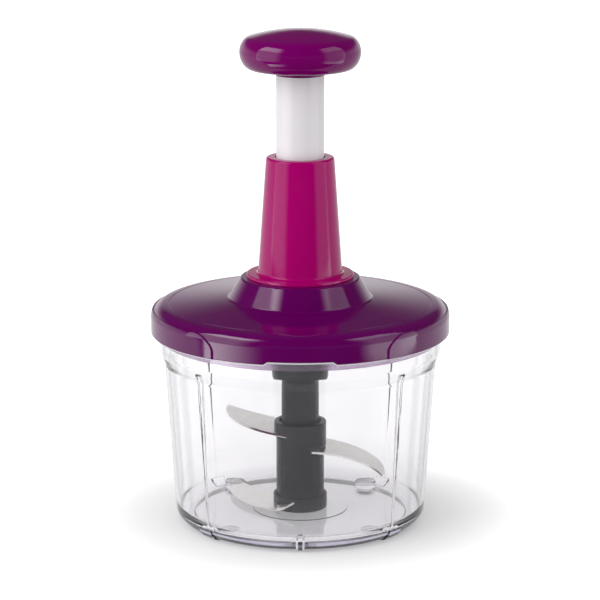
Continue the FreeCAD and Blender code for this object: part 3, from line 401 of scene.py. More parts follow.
@dataclass(frozen=True)
class SatinPlastic:
    """Spark-eroded moulded plastic: fine grain, satin sheen and faint rubbed patches."""

    name: str
    colour: Colour
    shade: Colour
    smooth: float = 0.24
    rough: float = 0.36
    specular: float = 0.5
    grain: float = 0.000004

    def material(self) -> bpy.types.Material:
        """Build the material."""
        graph = Graph(self.name)
        graph.tint(graph.spread(graph.noise(90.0, 5.0), 0.0, 1.0), self.colour, self.shade)
        graph.polish(graph.noise(180.0, 4.0, (1, 1, 0.25)), self.smooth, self.rough)
        graph.relief((graph.noise(2600.0, 2.0), self.grain))
        graph.fix(Specular_IOR_Level=self.specular)
        return graph.material


@dataclass(frozen=True)
class BrushedSteel:
    """Stainless steel with fine lines along the piece and clouds of polish."""

    name: str
    colour: Colour
    shade: Colour
    turn: float = 0.0
    smooth: float = 0.27
    rough: float = 0.35
    lines: float = 0.0000010

    def material(self) -> bpy.types.Material:
        """Build the material."""
        graph = Graph(self.name)
        stripes = graph.noise(1.0, 3.0, (14, 1300, 1300), self.turn)
        graph.tint(graph.spread(graph.noise(120.0), 0.0, 1.0), self.colour, self.shade)
        graph.polish(stripes, self.smooth, self.rough)
        graph.relief((stripes, self.lines))
        graph.fix(Metallic=1.0)
        return graph.material


@dataclass(frozen=True)
class SoftSeal:
    """Translucent tinted silicone with a slightly clouded inside."""

    name: str
    colour: Colour
    shade: Colour
    transmission: float = 0.85
    rough: float = 0.16
    grain: float = 0.000008

    def material(self) -> bpy.types.Material:
        """Build the material."""
        graph = Graph(self.name)
        cloud = graph.noise(60.0, 4.0, (1, 1, 3))
        graph.tint(graph.spread(cloud, 0.0, 1.0), self.colour, self.shade)
        graph.polish(graph.noise(300.0), self.rough, self.rough * 1.5)
        graph.relief((graph.noise(500.0, 2.0), self.grain))
        graph.fix(Transmission_Weight=self.transmission, IOR=1.41)
        return graph.material


PURPLE = GlossPlastic("Deep purple gloss", (0.112, 0.0, 0.092), (0.100, 0.0, 0.083), specular=0.42)
KNOB_PURPLE = GlossPlastic("Knob purple gloss", (0.165, 0.0, 0.110), (0.150, 0.0, 0.100))
MAGENTA = GlossPlastic("Magenta gloss", (0.39, 0.0, 0.140), (0.36, 0.0, 0.129), specular=0.24)
WHITE = GlossPlastic("White gloss", (0.80, 0.775, 0.80), (0.77, 0.745, 0.77), specular=0.4)
CLEAR = ClearPlastic("Clear bowl plastic", (0.935, 0.93, 0.94), (0.72, 0.69, 0.80))
# A whiter, less clear plastic for the rim of the ledge: partly the frosted look of a moulded edge,
# partly a painted highlight.
LEDGE = SoftSeal("Whitened clear ledge edge with painted highlight", (0.95, 0.93, 0.95), (0.91, 0.89, 0.92),
                 transmission=0.25, rough=0.30)
DARK = SatinPlastic("Dark graphite plastic", (0.015, 0.015, 0.021), (0.012, 0.012, 0.017),
                    smooth=0.18, rough=0.28, specular=0.25)
NYLON = SatinPlastic("Natural nylon", (0.74, 0.72, 0.66), (0.68, 0.66, 0.60))
STEEL = BrushedSteel("Plain bright steel", (0.60, 0.60, 0.61), (0.52, 0.52, 0.53))
SEAL = SoftSeal("Tinted silicone seal", (0.62, 0.47, 0.66), (0.56, 0.41, 0.60))


@dataclass(frozen=True)
class Corner:
    """A corner of an outline in millimetres, and how far along its sides its rounding reaches."""

    r: float
    z: float
    soft: float = 0.0
    steps: int = 5


class Form:
    """A mesh in the making, in millimetres."""

    def __init__(self) -> None:
        """Start an empty mesh."""
        self.bm = bmesh.new()

    def bevel(self, geom: Sequence, soft: float, segments: int, affect: str = "EDGES",
              clamp: bool = True) -> list[bmesh.types.BMFace]:
        """Bevel edges or corners.

        Args:
            geom: the edges or vertices.
            soft: the size of the bevel.
            segments: how many faces go across it.
            affect: EDGES or VERTICES.
            clamp: whether overlaps are kept out.

        Returns:
            The new faces.
        """
        return bmesh.ops.bevel(self.bm, geom=geom, offset=soft, offset_type="OFFSET",
                               segments=segments, profile=0.5, affect=affect,
                               clamp_overlap=clamp, material=-1)["faces"]

    def rotate(self, angle: float, axis: str = "Z", verts: Optional[Sequence] = None) -> None:
        """Rotate some or all vertices by an angle in radians about an axis of the frame."""
        bmesh.ops.rotate(self.bm, cent=(0, 0, 0), matrix=Matrix.Rotation(angle, 3, axis),
                         verts=self.bm.verts if verts is None else verts)

    def shift(self, by: Sequence[float], verts: Optional[Sequence] = None) -> None:
        """Shift some or all vertices."""
        bmesh.ops.translate(self.bm, vec=by, verts=self.bm.verts if verts is None else verts)

    def turn(self, corners: Sequence[Corner], steps: int = 192, loop: bool = True,
             squeeze: float = 1.0, sweep: Pair = (0.0, 360.0)) -> "Form":
        """Turn an outline about the axis.

        Args:
            corners: the outline, in order.
            steps: how many steps the turn has.
            loop: whether the outline closes on itself; else its ends lie on the axis.
            squeeze: heights are multiplied by this while the corners are rounded.
            sweep: the angles from +X, in degrees, between which it turns.

        Returns:
            The form.
        """
        bm = self.bm
        before = set(bm.verts)
        verts = [bm.verts.new((corner.r, 0, corner.z * squeeze)) for corner in corners]
        pairs = list(zip(verts, verts[1:] + (verts[:1] if loop else [])))
        for start, end in pairs:
            bm.edges.new((start, end))
        for vert, corner in zip(verts, corners):
            if corner.soft:
                self.bevel([vert], corner.soft, corner.steps, "VERTICES", False)
        chain = [vert for vert in bm.verts if vert not in before]
        bmesh.ops.scale(bm, vec=(1, 1, 1 / squeeze), verts=chain)
        start, end = (math.radians(angle) for angle in sweep)
        full = abs(end - start - 2 * math.pi) < 1e-6
        self.rotate(start, verts=chain)
        edges = {edge for vert in chain for edge in vert.link_edges}
        ends = bmesh.ops.spin(bm, geom=[*chain, *edges], cent=(0, 0, 0), axis=(0, 0, 1),
                              dvec=(0, 0, 0), angle=end - start, steps=steps, use_merge=full,
                              use_duplicate=False)["geom_last"]
        if not full:
            bmesh.ops.edgeloop_fill(bm, edges=list(edges))
            bmesh.ops.edgeloop_fill(bm, edges=only(ends, bmesh.types.BMEdge))
        bmesh.ops.remove_doubles(bm, verts=bm.verts, dist=0.0005)
        bmesh.ops.recalc_face_normals(bm, faces=bm.faces)
        return self

    def score(self, planes: Iterable[Plane], where: Picker) -> "Form":
        """Cut edges along planes into the faces that a test picks.

        Args:
            planes: a point and the normal of each plane.
            where: picks a face by its middle, before the first cut.

        Returns:
            The form.
        """
        faces = [face for face in self.bm.faces if where(face.calc_center_median())]
        around = {edge for face in faces for edge in face.edges}
        ends = {vert for face in faces for vert in face.verts}
        part = [*faces, *around, *ends]
        for point, normal in planes:
            part = bmesh.ops.bisect_plane(self.bm, geom=part, dist=0.0005, plane_co=Vector(point),
                                          plane_no=Vector(normal))["geom"]
        return self

    def cut(self, point: Sequence[float], normal: Sequence[float], keep: Keep = Keep.BELOW,
            tube: bool = False) -> "Form":
        """Cut a closed mesh with a plane, drop one side and close the other.

        Args:
            point: a point of the plane.
            normal: its normal.
            keep: the side that stays.
            tube: whether the cut face is a ring with a hole.

        Returns:
            The form.
        """
        bm = self.bm
        found = bmesh.ops.bisect_plane(bm, geom=[*bm.verts, *bm.edges, *bm.faces], dist=0.0005,
                                       plane_co=Vector(point), plane_no=Vector(normal),
                                       clear_outer=keep is Keep.BELOW,
                                       clear_inner=keep is Keep.ABOVE)["geom_cut"]
        rim = only(found, bmesh.types.BMEdge)
        if tube:
            bmesh.ops.bridge_loops(bm, edges=rim)
        elif rim:
            bmesh.ops.edgeloop_fill(bm, edges=rim)
        bmesh.ops.recalc_face_normals(bm, faces=bm.faces)
        return self

    def move(self, where: Picker, shift: Callable[[Vector], Vector]) -> "Form":
        """Move the vertices that a test picks, each by its own shift."""
        for vert in self.bm.verts:
            if where(vert.co):
                vert.co += shift(vert.co)
        return self

    def swell(self, where: Picker, shift: Callable[[Vector], Vector], soft: float) -> "Form":
        """Extrude the faces that a test picks and round their new rim.

        Args:
            where: picks a face by its middle.
            shift: how far each vertex of the new face moves.
            soft: the size of the rounding.

        Returns:
            The form.
        """
        bm = self.bm
        faces = [face for face in bm.faces if where(face.calc_center_median())]
        made = bmesh.ops.extrude_face_region(bm, geom=faces)["geom"]
        bmesh.ops.delete(bm, geom=faces, context="FACES_ONLY")
        tops = set(only(made, bmesh.types.BMFace))
        for vert in only(made, bmesh.types.BMVert):
            vert.co += shift(vert.co)
        rim = [edge for edge in bm.edges
               if sum(face in tops for face in edge.link_faces) == 1 and len(edge.link_faces) == 2]
        self.bevel(rim, soft, 3)
        return self

    def round_edges(self, where: Callable[[bmesh.types.BMEdge], bool], soft: float) -> "Form":
        """Round the edges that a test picks."""
        rim = [edge for edge in self.bm.edges if len(edge.link_faces) == 2 and where(edge)]
        self.bevel(rim, soft, 3)
        return self

    def copy_around(self, count: int) -> "Form":
        """Repeat the whole mesh evenly about the axis."""
        source = [*self.bm.verts, *self.bm.edges, *self.bm.faces]
        for index in range(1, count):
            made = bmesh.ops.duplicate(self.bm, geom=source)["geom"]
            self.rotate(2 * math.pi * index / count, verts=only(made, bmesh.types.BMVert))
        return self

    def finish(self, name: str, finish: Iterable[bpy.types.Material], body: Body, slot: Slot,
               nodes: Sequence[str], sharp: float = 35.0) -> bpy.types.Object:
        """Make the object, in metres, and hand it to the frame.

        Args:
            name: the name of the piece.
            finish: its materials.
            body: the body that it rides on.
            slot: its material slot in the record; not used.
            nodes: the nodes of the frame that it replaces.
            sharp: edges with a larger angle than this, in degrees, stay sharp.

        Returns:
            The object.
        """
        bmesh.ops.scale(self.bm, vec=(MM, MM, MM), verts=self.bm.verts)
        mesh = bpy.data.meshes.new(name)
        self.bm.to_mesh(mesh)
        self.bm.free()
        mesh.polygons.foreach_set("use_smooth", [True] * len(mesh.polygons))
        mesh.set_sharp_from_angle(angle=math.radians(sharp))
        for material in finish:
            mesh.materials.append(material)
        piece = bpy.data.objects.new(name, mesh)
        bpy.context.scene.collection.objects.link(piece)
        even = piece.modifiers.new("Even shading", "WEIGHTED_NORMAL")
        even.keep_sharp = True
        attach(piece, body.value)
        if nodes:
            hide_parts(*nodes)
        log.info("%s: %d faces on %s", name, len(mesh.polygons), body.value)
        return piece


def only(items: Iterable, kind: type) -> list:
    """The items of one kind."""
    return [item for item in items if isinstance(item, kind)]


def polar(degrees: float) -> Vector:
    """A unit vector in the plane, at an angle from the front, positive towards +X."""
    angle = math.radians(degrees)
    return Vector((math.sin(angle), -math.cos(angle), 0))


def both_ways(*halves: float) -> list[Plane]:
    """Planes across X at each distance to either side of the middle."""
    return [((side * half, 0, 0), (1, 0, 0)) for side in (-1, 1) for half in halves]


def ramp(value: float, inner: float, outer: float) -> float:
    """1 inside the inner bound, 0 outside the outer one, and straight between them."""
    return max(0.0, min(1.0, (outer - value) / (outer - inner)))


@dataclass
class Bowl:
    """The clear bowl with its lug, wall ribs, foot blocks, gate rib, floor sockets and pads."""

    floor_top: float = 5.2
    rib_top: float = 96.5
    rib_low: float = 7.5
    rib_w_high: float = 3.6
    rib_w_low: float = 1.6
    rib_high_depth: float = 2.2
    rib_low_depth: float = 0.5
    rib_side: float = 0.8
    rib_mesh: float = 0.22
    ribs: tuple[Pair, ...] = ((47.0, 1.0), (-47.0, 1.0), (133.0, 0.5), (-133.0, 0.5))
    wall_low: Pair = (67.7, 5.2)
    wall_bend: Pair = (73.6, 91.5)
    wall_top: Pair = (76.4, 98.2)
    lug_half_low: float = 19.6
    lug_half_high: float = 17.5
    lug_rise: float = 1.5
    gate_half: float = 2.2
    gate_top: float = 10.5
    pad_at_r: float = 54.0
    socket_r: float = 6.1
    socket_h: float = 3.8
    block_half: float = 4.7
    steps: int = 360

    def build(self) -> list[bpy.types.Object]:
        """Build the bowl and its pads."""
        clear = CLEAR.material()
        return [self.shell(clear), self.pads(clear)]

    def shell(self, clear: bpy.types.Material) -> bpy.types.Object:
        """The bowl itself.

        Args:
            clear: the material.

        Returns:
            The piece.
        """
        form = Form().turn([
            Corner(0, 3.0), Corner(59.8, 3.0, 0.5), Corner(59.8, 0.0, 0.5), Corner(63.0, 0.0, 0.6),
            Corner(69.9, 2.6, 4.8, 12), Corner(76.0, 91.5, 1.2), Corner(78.6, 98.2, 1.2),
            Corner(78.6, 107.5, 0.2, 2), Corner(82.3, 107.5, 0.3, 3), Corner(82.3, 108.4, 0.3, 3),
            Corner(78.6, 108.4, 0.2, 2), Corner(78.6, 115.4, 0.5), Corner(76.4, 115.4, 0.5),
            Corner(*self.wall_top, 1.2), Corner(*self.wall_bend, 1.2),
            Corner(*self.wall_low, 6.2, 12), Corner(26.7, 5.2, 0.15, 2),
            Corner(26.7, 5.6, 0.15, 2), Corner(0, 5.6),
        ], steps=self.steps, loop=False)
        self.add_lug(form)
        for angle, share in self.ribs:
            self.add_rib(form, angle, share)
        for angle in (-135, -48, 48, 135):
            self.add_foot_rib(form, angle, self.block_half, 7.0)
        self.add_foot_rib(form, 0.0, self.gate_half, self.gate_top)
        # The outer rim of the ledge takes the whiter plastic, partly a frosted moulded edge and
        # partly a painted highlight; the sides of the gate rib take it too.
        for face in form.bm.faces:
            middle = face.calc_center_median()
            on_ledge = math.hypot(middle.x, middle.y) > 81.6 and 107.0 < middle.z < 110.2
            on_gate = middle.y < -63.0 and 0.2 < middle.z < 11 and 1.5 < abs(middle.x) < 2.4
            if on_ledge or on_gate:
                face.material_index = 1
        for angle in (135, -135):
            add_to(form, self.socket(angle))
        return form.finish("bowl_shell", [clear, LEDGE.material()], Body.BOWL, Slot.CLEAR, ["bowl"],
                           sharp=40)

    def add_lug(self, form: Form) -> None:
        """Raise the ledge at the front, with a slope at each end."""
        def ledge(co: Vector) -> bool:
            """Whether a point is on the outside of the ledge, at the front."""
            return co.y < 0 and 107.2 < co.z < 108.7 and co.length > 78 and abs(co.x) < 25

        form.score(both_ways(self.lug_half_low, self.lug_half_high), ledge)
        form.move(lambda co: co.y < 0 and 107.2 < co.z < 108.7 and math.hypot(co.x, co.y) > 78.2,
                  lambda co: Vector((0, 0, self.lug_rise * ramp(abs(co.x), self.lug_half_high,
                                                                self.lug_half_low))))

    def wall_at(self, z: float) -> float:
        """The inner radius of the wall at a height."""
        low, high = (self.wall_low, self.wall_bend) if z < self.wall_bend[1] else \
            (self.wall_bend, self.wall_top)
        return low[0] + (z - low[1]) * (high[0] - low[0]) / (high[1] - low[1])

    def add_rib(self, form: Form, angle: float, height: float) -> None:
        """Raise one upright rib on the inner wall.

        Args:
            form: the mesh of the bowl.
            angle: where it stands, in degrees from the front.
            height: how far it stands out, as a share of the full depth.
        """
        out = polar(angle)
        side = Vector((-out.y, out.x, 0))
        arch = self.rib_w_high / 2
        crown = self.rib_top - arch

        def inner_wall(co: Vector) -> bool:
            """Whether a point is on the inside of the wall, near the rib."""
            return co.dot(out) > 55 and abs(co.dot(side)) < 4.5 and 6.5 < co.z < 97.9 and \
                abs(math.hypot(co.x, co.y) - self.wall_at(co.z)) < 0.9

        heights = [self.rib_low + index * (crown - self.rib_low) / 22 for index in range(23)]
        heights += [self.rib_low + 0.5, *(crown + arch * share / 8 for share in range(1, 10))]
        form.score([(side * index * self.rib_mesh, side) for index in range(-11, 12)]
                   + [((0, 0, level), (0, 0, 1)) for level in heights], inner_wall)

        def inwards(co: Vector) -> Vector:
            """How far a point of the wall moves to make the rib."""
            across = abs(co.dot(side))
            share = max(0.0, min(1.0, (co.z - self.rib_low) / (crown - self.rib_low)))
            half = (self.rib_w_low + (self.rib_w_high - self.rib_w_low) * share) / 2
            inside = half - math.hypot(across, co.z - crown) if co.z > crown \
                else min(half - across, co.z - self.rib_low)
            ease = 1 - ramp(inside, 0.0, self.rib_side)
            deep = self.rib_low_depth + (self.rib_high_depth - self.rib_low_depth) * share
            return -out * height * deep * ease * ease * (3 - 2 * ease)

        form.move(inner_wall, inwards)

    def socket(self, angle: float) -> Form:
        """One round socket on the floor, over a foot pad.

        Args:
            angle: where it stands, in degrees from the front.

        Returns:
            The mesh of the socket.
        """
        low = self.floor_top + 0.03
        form = Form().turn([Corner(0, low), Corner(self.socket_r, low, 0.2, 2),
                            Corner(self.socket_r, self.floor_top + self.socket_h, 0.6, 4),
                            Corner(0, self.floor_top + self.socket_h)], steps=48, loop=False)
        form.shift(polar(angle) * self.pad_at_r)
        return form

    def add_foot_rib(self, form: Form, angle: float, half: float, top: float) -> None:
        """Raise a short upright rib on the outside of the foot.

        Args:
            form: the mesh of the bowl.
            angle: where it stands, in degrees from the front.
            half: half its width.
            top: the height of its upper end.
        """
        out = polar(angle)
        side = Vector((-out.y, out.x, 0))

        def outer_foot(co: Vector) -> bool:
            """Whether a point is on the outside of the foot, near the rib."""
            return co.dot(out) > 61.8 and 0.15 < co.z < 14 and abs(co.dot(side)) < half + 4 \
                and math.hypot(co.x, co.y) > 63.0 + min(co.z, 7.0) * 0.35

        form.score([(side * half, side), (side * -half, side), ((0, 0, top), (0, 0, 1))],
                   outer_foot)
        form.swell(lambda co: outer_foot(co) and abs(co.dot(side)) < half and co.z < top,
                   lambda co: out * 0.7 - Vector((0, 0, min(0.45, 0.8 * co.z))), soft=0.35)

    def pads(self, clear: bpy.types.Material) -> bpy.types.Object:
        """The four pads inside the foot ring.

        Args:
            clear: the material.

        Returns:
            The piece.
        """
        form = Form().turn([Corner(0, 0), Corner(4.6, 0, 0.4, 3), Corner(4.6, 2.95),
                            Corner(0, 2.95)], steps=40, loop=False)
        form.shift(polar(45) * self.pad_at_r)
        form.copy_around(4)
        return form.finish("foot_pad_set", [clear], Body.BOWL, Slot.CLEAR, ["foot_pads"])


@dataclass(frozen=True)
class BladePlan:
    """The plan of one blade in its own frame, with its tip along +X."""

    name: str
    turn: float
    height: float
    tilt: float
    reach: float
    edge: tuple[float, float, float]
    back: tuple[float, float, float]
    root: tuple[tuple[float, float], ...] = ((0.0, 0.0),)
    bend: float = 0.0


@dataclass
class BladeUnit:
    """The dark shaft with its hubs and the three crescent blades."""

    thick: float = 1.2
    bevel: float = 0.85
    fold: float = math.tan(math.radians(20.5))
    plans: tuple[BladePlan, ...] = (
        BladePlan("upper", 138.2, 49.8, 4.2, 57.7, (-2.3, 14.5, 49.8), (6.0, -12.0, 130.0)),
        BladePlan("middle", -37.2, 42.0, -8.0, 58.9, (-9.0, 10.5, 42.0), (12.0, -6.0, 34.0)),
        BladePlan("lower", 130.5, 8.2, 0.0, 59.2, (-8.0, 19.0, 52.0), (12.0, 2.0, 72.0),
                  root=((0.0, 3.0), (-9.0, 12.2)), bend=-13.0),
    )
    step_left: float = 47.6
    step_right: float = 42.0
    hub_r: float = 14.7

    def build(self) -> list[bpy.types.Object]:
        """Build the unit.

        Returns:
            The pieces.
        """
        dark = DARK.material()
        ground = BrushedSteel("Ground blade edge", (0.82, 0.81, 0.79), (0.76, 0.75, 0.73),
                              smooth=0.16, rough=0.24).material()
        pieces = [self.shaft(dark), self.upper_hub(dark), self.sleeve(dark), self.lower_hub(dark)]
        pieces += [self.blade(plan, ground) for plan in self.plans]
        return pieces

    def shaft(self, dark: bpy.types.Material) -> bpy.types.Object:
        """The shaft, with a hexagonal head inside the socket."""
        form = Form().turn([
            Corner(0, 6.3), Corner(8.9, 6.3), Corner(8.9, 53.4), Corner(10.55, 53.4, 0.2, 2),
            Corner(10.55, 84.0, 0.6), Corner(8.8, 84.0), Corner(8.8, 84.4), Corner(0, 84.4),
        ], steps=96, loop=False)
        head = Form().turn([Corner(0, 84.3), Corner(10.1, 84.3), Corner(10.1, 99.6, 0.8, 3),
                            Corner(0, 99.6)], steps=6, loop=False, sweep=(30.0, 390.0))
        add_to(form, head)
        return form.finish("blade_shaft_body", [dark], Body.BLADES, Slot.DARK, ["blade_shaft"])

    def step_plane(self) -> tuple[Vector, Vector]:
        """A point and the normal of the sloping step between the upper hub and the sleeve."""
        slope = (self.step_right - self.step_left) / (2 * self.hub_r)
        return Vector((0, 0, (self.step_left + self.step_right) / 2)), Vector((-slope, 0, 1))

    def upper_hub(self, dark: bpy.types.Material) -> bpy.types.Object:
        """The upper hub with its open cup."""
        form = Form().turn([
            Corner(8.9, 34), Corner(self.hub_r, 34), Corner(self.hub_r, 56.2, 0.7, 4),
            Corner(11.9, 56.2, 0.4, 3), Corner(11.9, 53.2, 0.4, 3), Corner(8.9, 53.2),
        ], steps=128)
        form.cut(*self.step_plane(), keep=Keep.ABOVE, tube=True)
        form.round_edges(lambda edge: on_rim(edge, self.hub_r, 52), 0.35)
        return form.finish("upper_hub_body", [dark], Body.BLADES, Slot.DARK, ["upper_hub"])

    def sleeve(self, dark: bpy.types.Material) -> bpy.types.Object:
        """The narrower sleeve below the upper hub."""
        form = Form().turn([Corner(8.9, 12.7), Corner(13.5, 12.7, 0.3, 3), Corner(13.5, 56),
                            Corner(8.9, 56)], steps=128)
        form.cut(*self.step_plane(), keep=Keep.BELOW, tube=True)
        return form.finish("middle_sleeve_body", [dark], Body.BLADES, Slot.DARK, ["middle_sleeve"])

    def lower_hub(self, dark: bpy.types.Material) -> bpy.types.Object:
        """The foot of the unit, with the groove in which the sleeve ends."""
        form = Form().turn([
            Corner(8.9, 5.8), Corner(15.2, 5.8, 0.8, 4), Corner(15.2, 13.9, 0.45, 4),
            Corner(14.1, 13.9, 0.3, 3), Corner(14.1, 12.7), Corner(8.9, 12.7),
        ], steps=128)
        return form.finish("lower_hub_body", [dark], Body.BLADES, Slot.DARK, ["lower_hub"])

    def blade(self, plan: BladePlan, ground: bpy.types.Material) -> bpy.types.Object:
        """One blade, with a ground front edge.

        Args:
            plan: its plan.
            ground: the material of the ground edge.

        Returns:
            The piece.
        """
        form = Form()
        bm = form.bm
        start = Vector((plan.edge[0], plan.edge[1], 0))
        tip = Vector((plan.reach, 0, 0))
        heel = Vector((plan.back[0], plan.back[1], 0))
        front = arc_chain(bm, start, tip, plan.edge[2], 1, 40)
        blunt = tip + Vector((-self.thick, -self.thick, 0))
        back = arc_chain(bm, blunt, heel, plan.back[2], -1, 32)
        roots = [bm.verts.new((x, y, 0)) for x, y in plan.root]
        ring = [*front, *back, *roots]
        for one, two in zip([front[-1], back[-1], *roots], [back[0], *roots, front[0]]):
            bm.edges.new((one, two))
        face = bm.faces.new(ring)
        made = bmesh.ops.extrude_face_region(bm, geom=[face])["geom"]
        form.shift((0, 0, self.thick), only(made, bmesh.types.BMVert))
        form.shift((0, 0, -self.thick / 2))
        bmesh.ops.recalc_face_normals(bm, faces=bm.faces)
        self.grind(form, plan, start, tip)
        if plan.bend:
            self.fold_root(form, plan)
        form.rotate(-math.radians(plan.tilt), "Y")
        form.rotate(math.radians(plan.turn))
        form.shift((0, 0, plan.height))
        steel = BrushedSteel(f"Blade steel {plan.name}", (0.88, 0.865, 0.835), (0.81, 0.795, 0.765),
                             turn=plan.turn).material()
        return form.finish(f"blade_{plan.name}_steel", [steel, ground], Body.BLADES, Slot.BLADE,
                           [f"blade_{plan.name}"], sharp=20)

    def grind(self, form: Form, plan: BladePlan, start: Vector, tip: Vector) -> None:
        """Bevel the top of the front edge and give the bevel the ground finish.

        Args:
            form: the mesh of the blade.
            plan: its plan.
            start: where the front edge starts.
            tip: where it ends.
        """
        centre = arc_centre(start, tip, plan.edge[2], 1)
        rim = [edge for edge in form.bm.edges
               if all(vert.co.z > 0 and abs((vert.co - centre - Vector((0, 0, vert.co.z))).length
                                            - plan.edge[2]) < 0.01 for vert in edge.verts)]
        for face in form.bevel(rim, self.bevel, 1):
            face.material_index = 1

    def fold_root(self, form: Form, plan: BladePlan) -> None:
        """Bend the root of a blade up towards its hub, along a line parallel to Y.

        Args:
            form: the mesh of the blade.
            plan: its plan.
        """
        form.rotate(math.radians(plan.turn))
        form.score([((plan.bend, 0, 0), (1, 0, 0))], lambda co: True)
        form.move(lambda co: co.x > plan.bend,
                  lambda co: Vector((0, 0, (co.x - plan.bend) * self.fold)))
        form.rotate(-math.radians(plan.turn))


def add_to(form: Form, other: Form) -> None:
    """Copy one mesh into another.

    Args:
        form: the mesh that receives.
        other: the mesh that is copied, and freed.
    """
    carrier = bpy.data.meshes.new("carrier")
    other.bm.to_mesh(carrier)
    other.bm.free()
    form.bm.from_mesh(carrier)
    bpy.data.meshes.remove(carrier)


def on_rim(edge: bmesh.types.BMEdge, radius: float, below: float) -> bool:
    """Whether an edge lies on a rim of a given radius, below a height, and turns a corner."""
    return edge.calc_face_angle(0) > 0.6 and all(
        abs(math.hypot(vert.co.x, vert.co.y) - radius) < 0.02 and vert.co.z < below
        for vert in edge.verts)


def arc_centre(start: Vector, end: Vector, radius: float, side: int) -> Vector:
    """The centre of an arc from start to end that bulges to the left for side 1."""
    chord = end - start
    normal = Vector((-chord.y, chord.x, 0)).normalized()
    return (start + end) / 2 - normal * side * math.sqrt(radius ** 2 - (chord.length / 2) ** 2)


def arc_chain(bm: bmesh.types.BMesh, start: Vector, end: Vector, radius: float, side: int,
              steps: int) -> list[bmesh.types.BMVert]:
    """Draw an arc by spinning one vertex.

    Args:
        bm: the mesh.
        start: where it starts.
        end: where it ends.
        radius: its radius.
        side: 1 where it bulges to the left of its chord, -1 to the right.
        steps: how many edges it has.

    Returns:
        Its vertices, from start to end.
    """
    centre = arc_centre(start, end, radius, side)
    angle = (start - centre).to_2d().angle_signed((end - centre).to_2d())
    first = bm.verts.new(start)
    before = set(bm.verts)
    bmesh.ops.spin(bm, geom=[first], cent=centre, axis=(0, 0, 1), dvec=(0, 0, 0), angle=-angle,
                   steps=steps, use_merge=False, use_duplicate=False)
    made = [vert for vert in bm.verts if vert not in before]
    made.sort(key=lambda vert: (vert.co - start).length)
    return [first, *made]


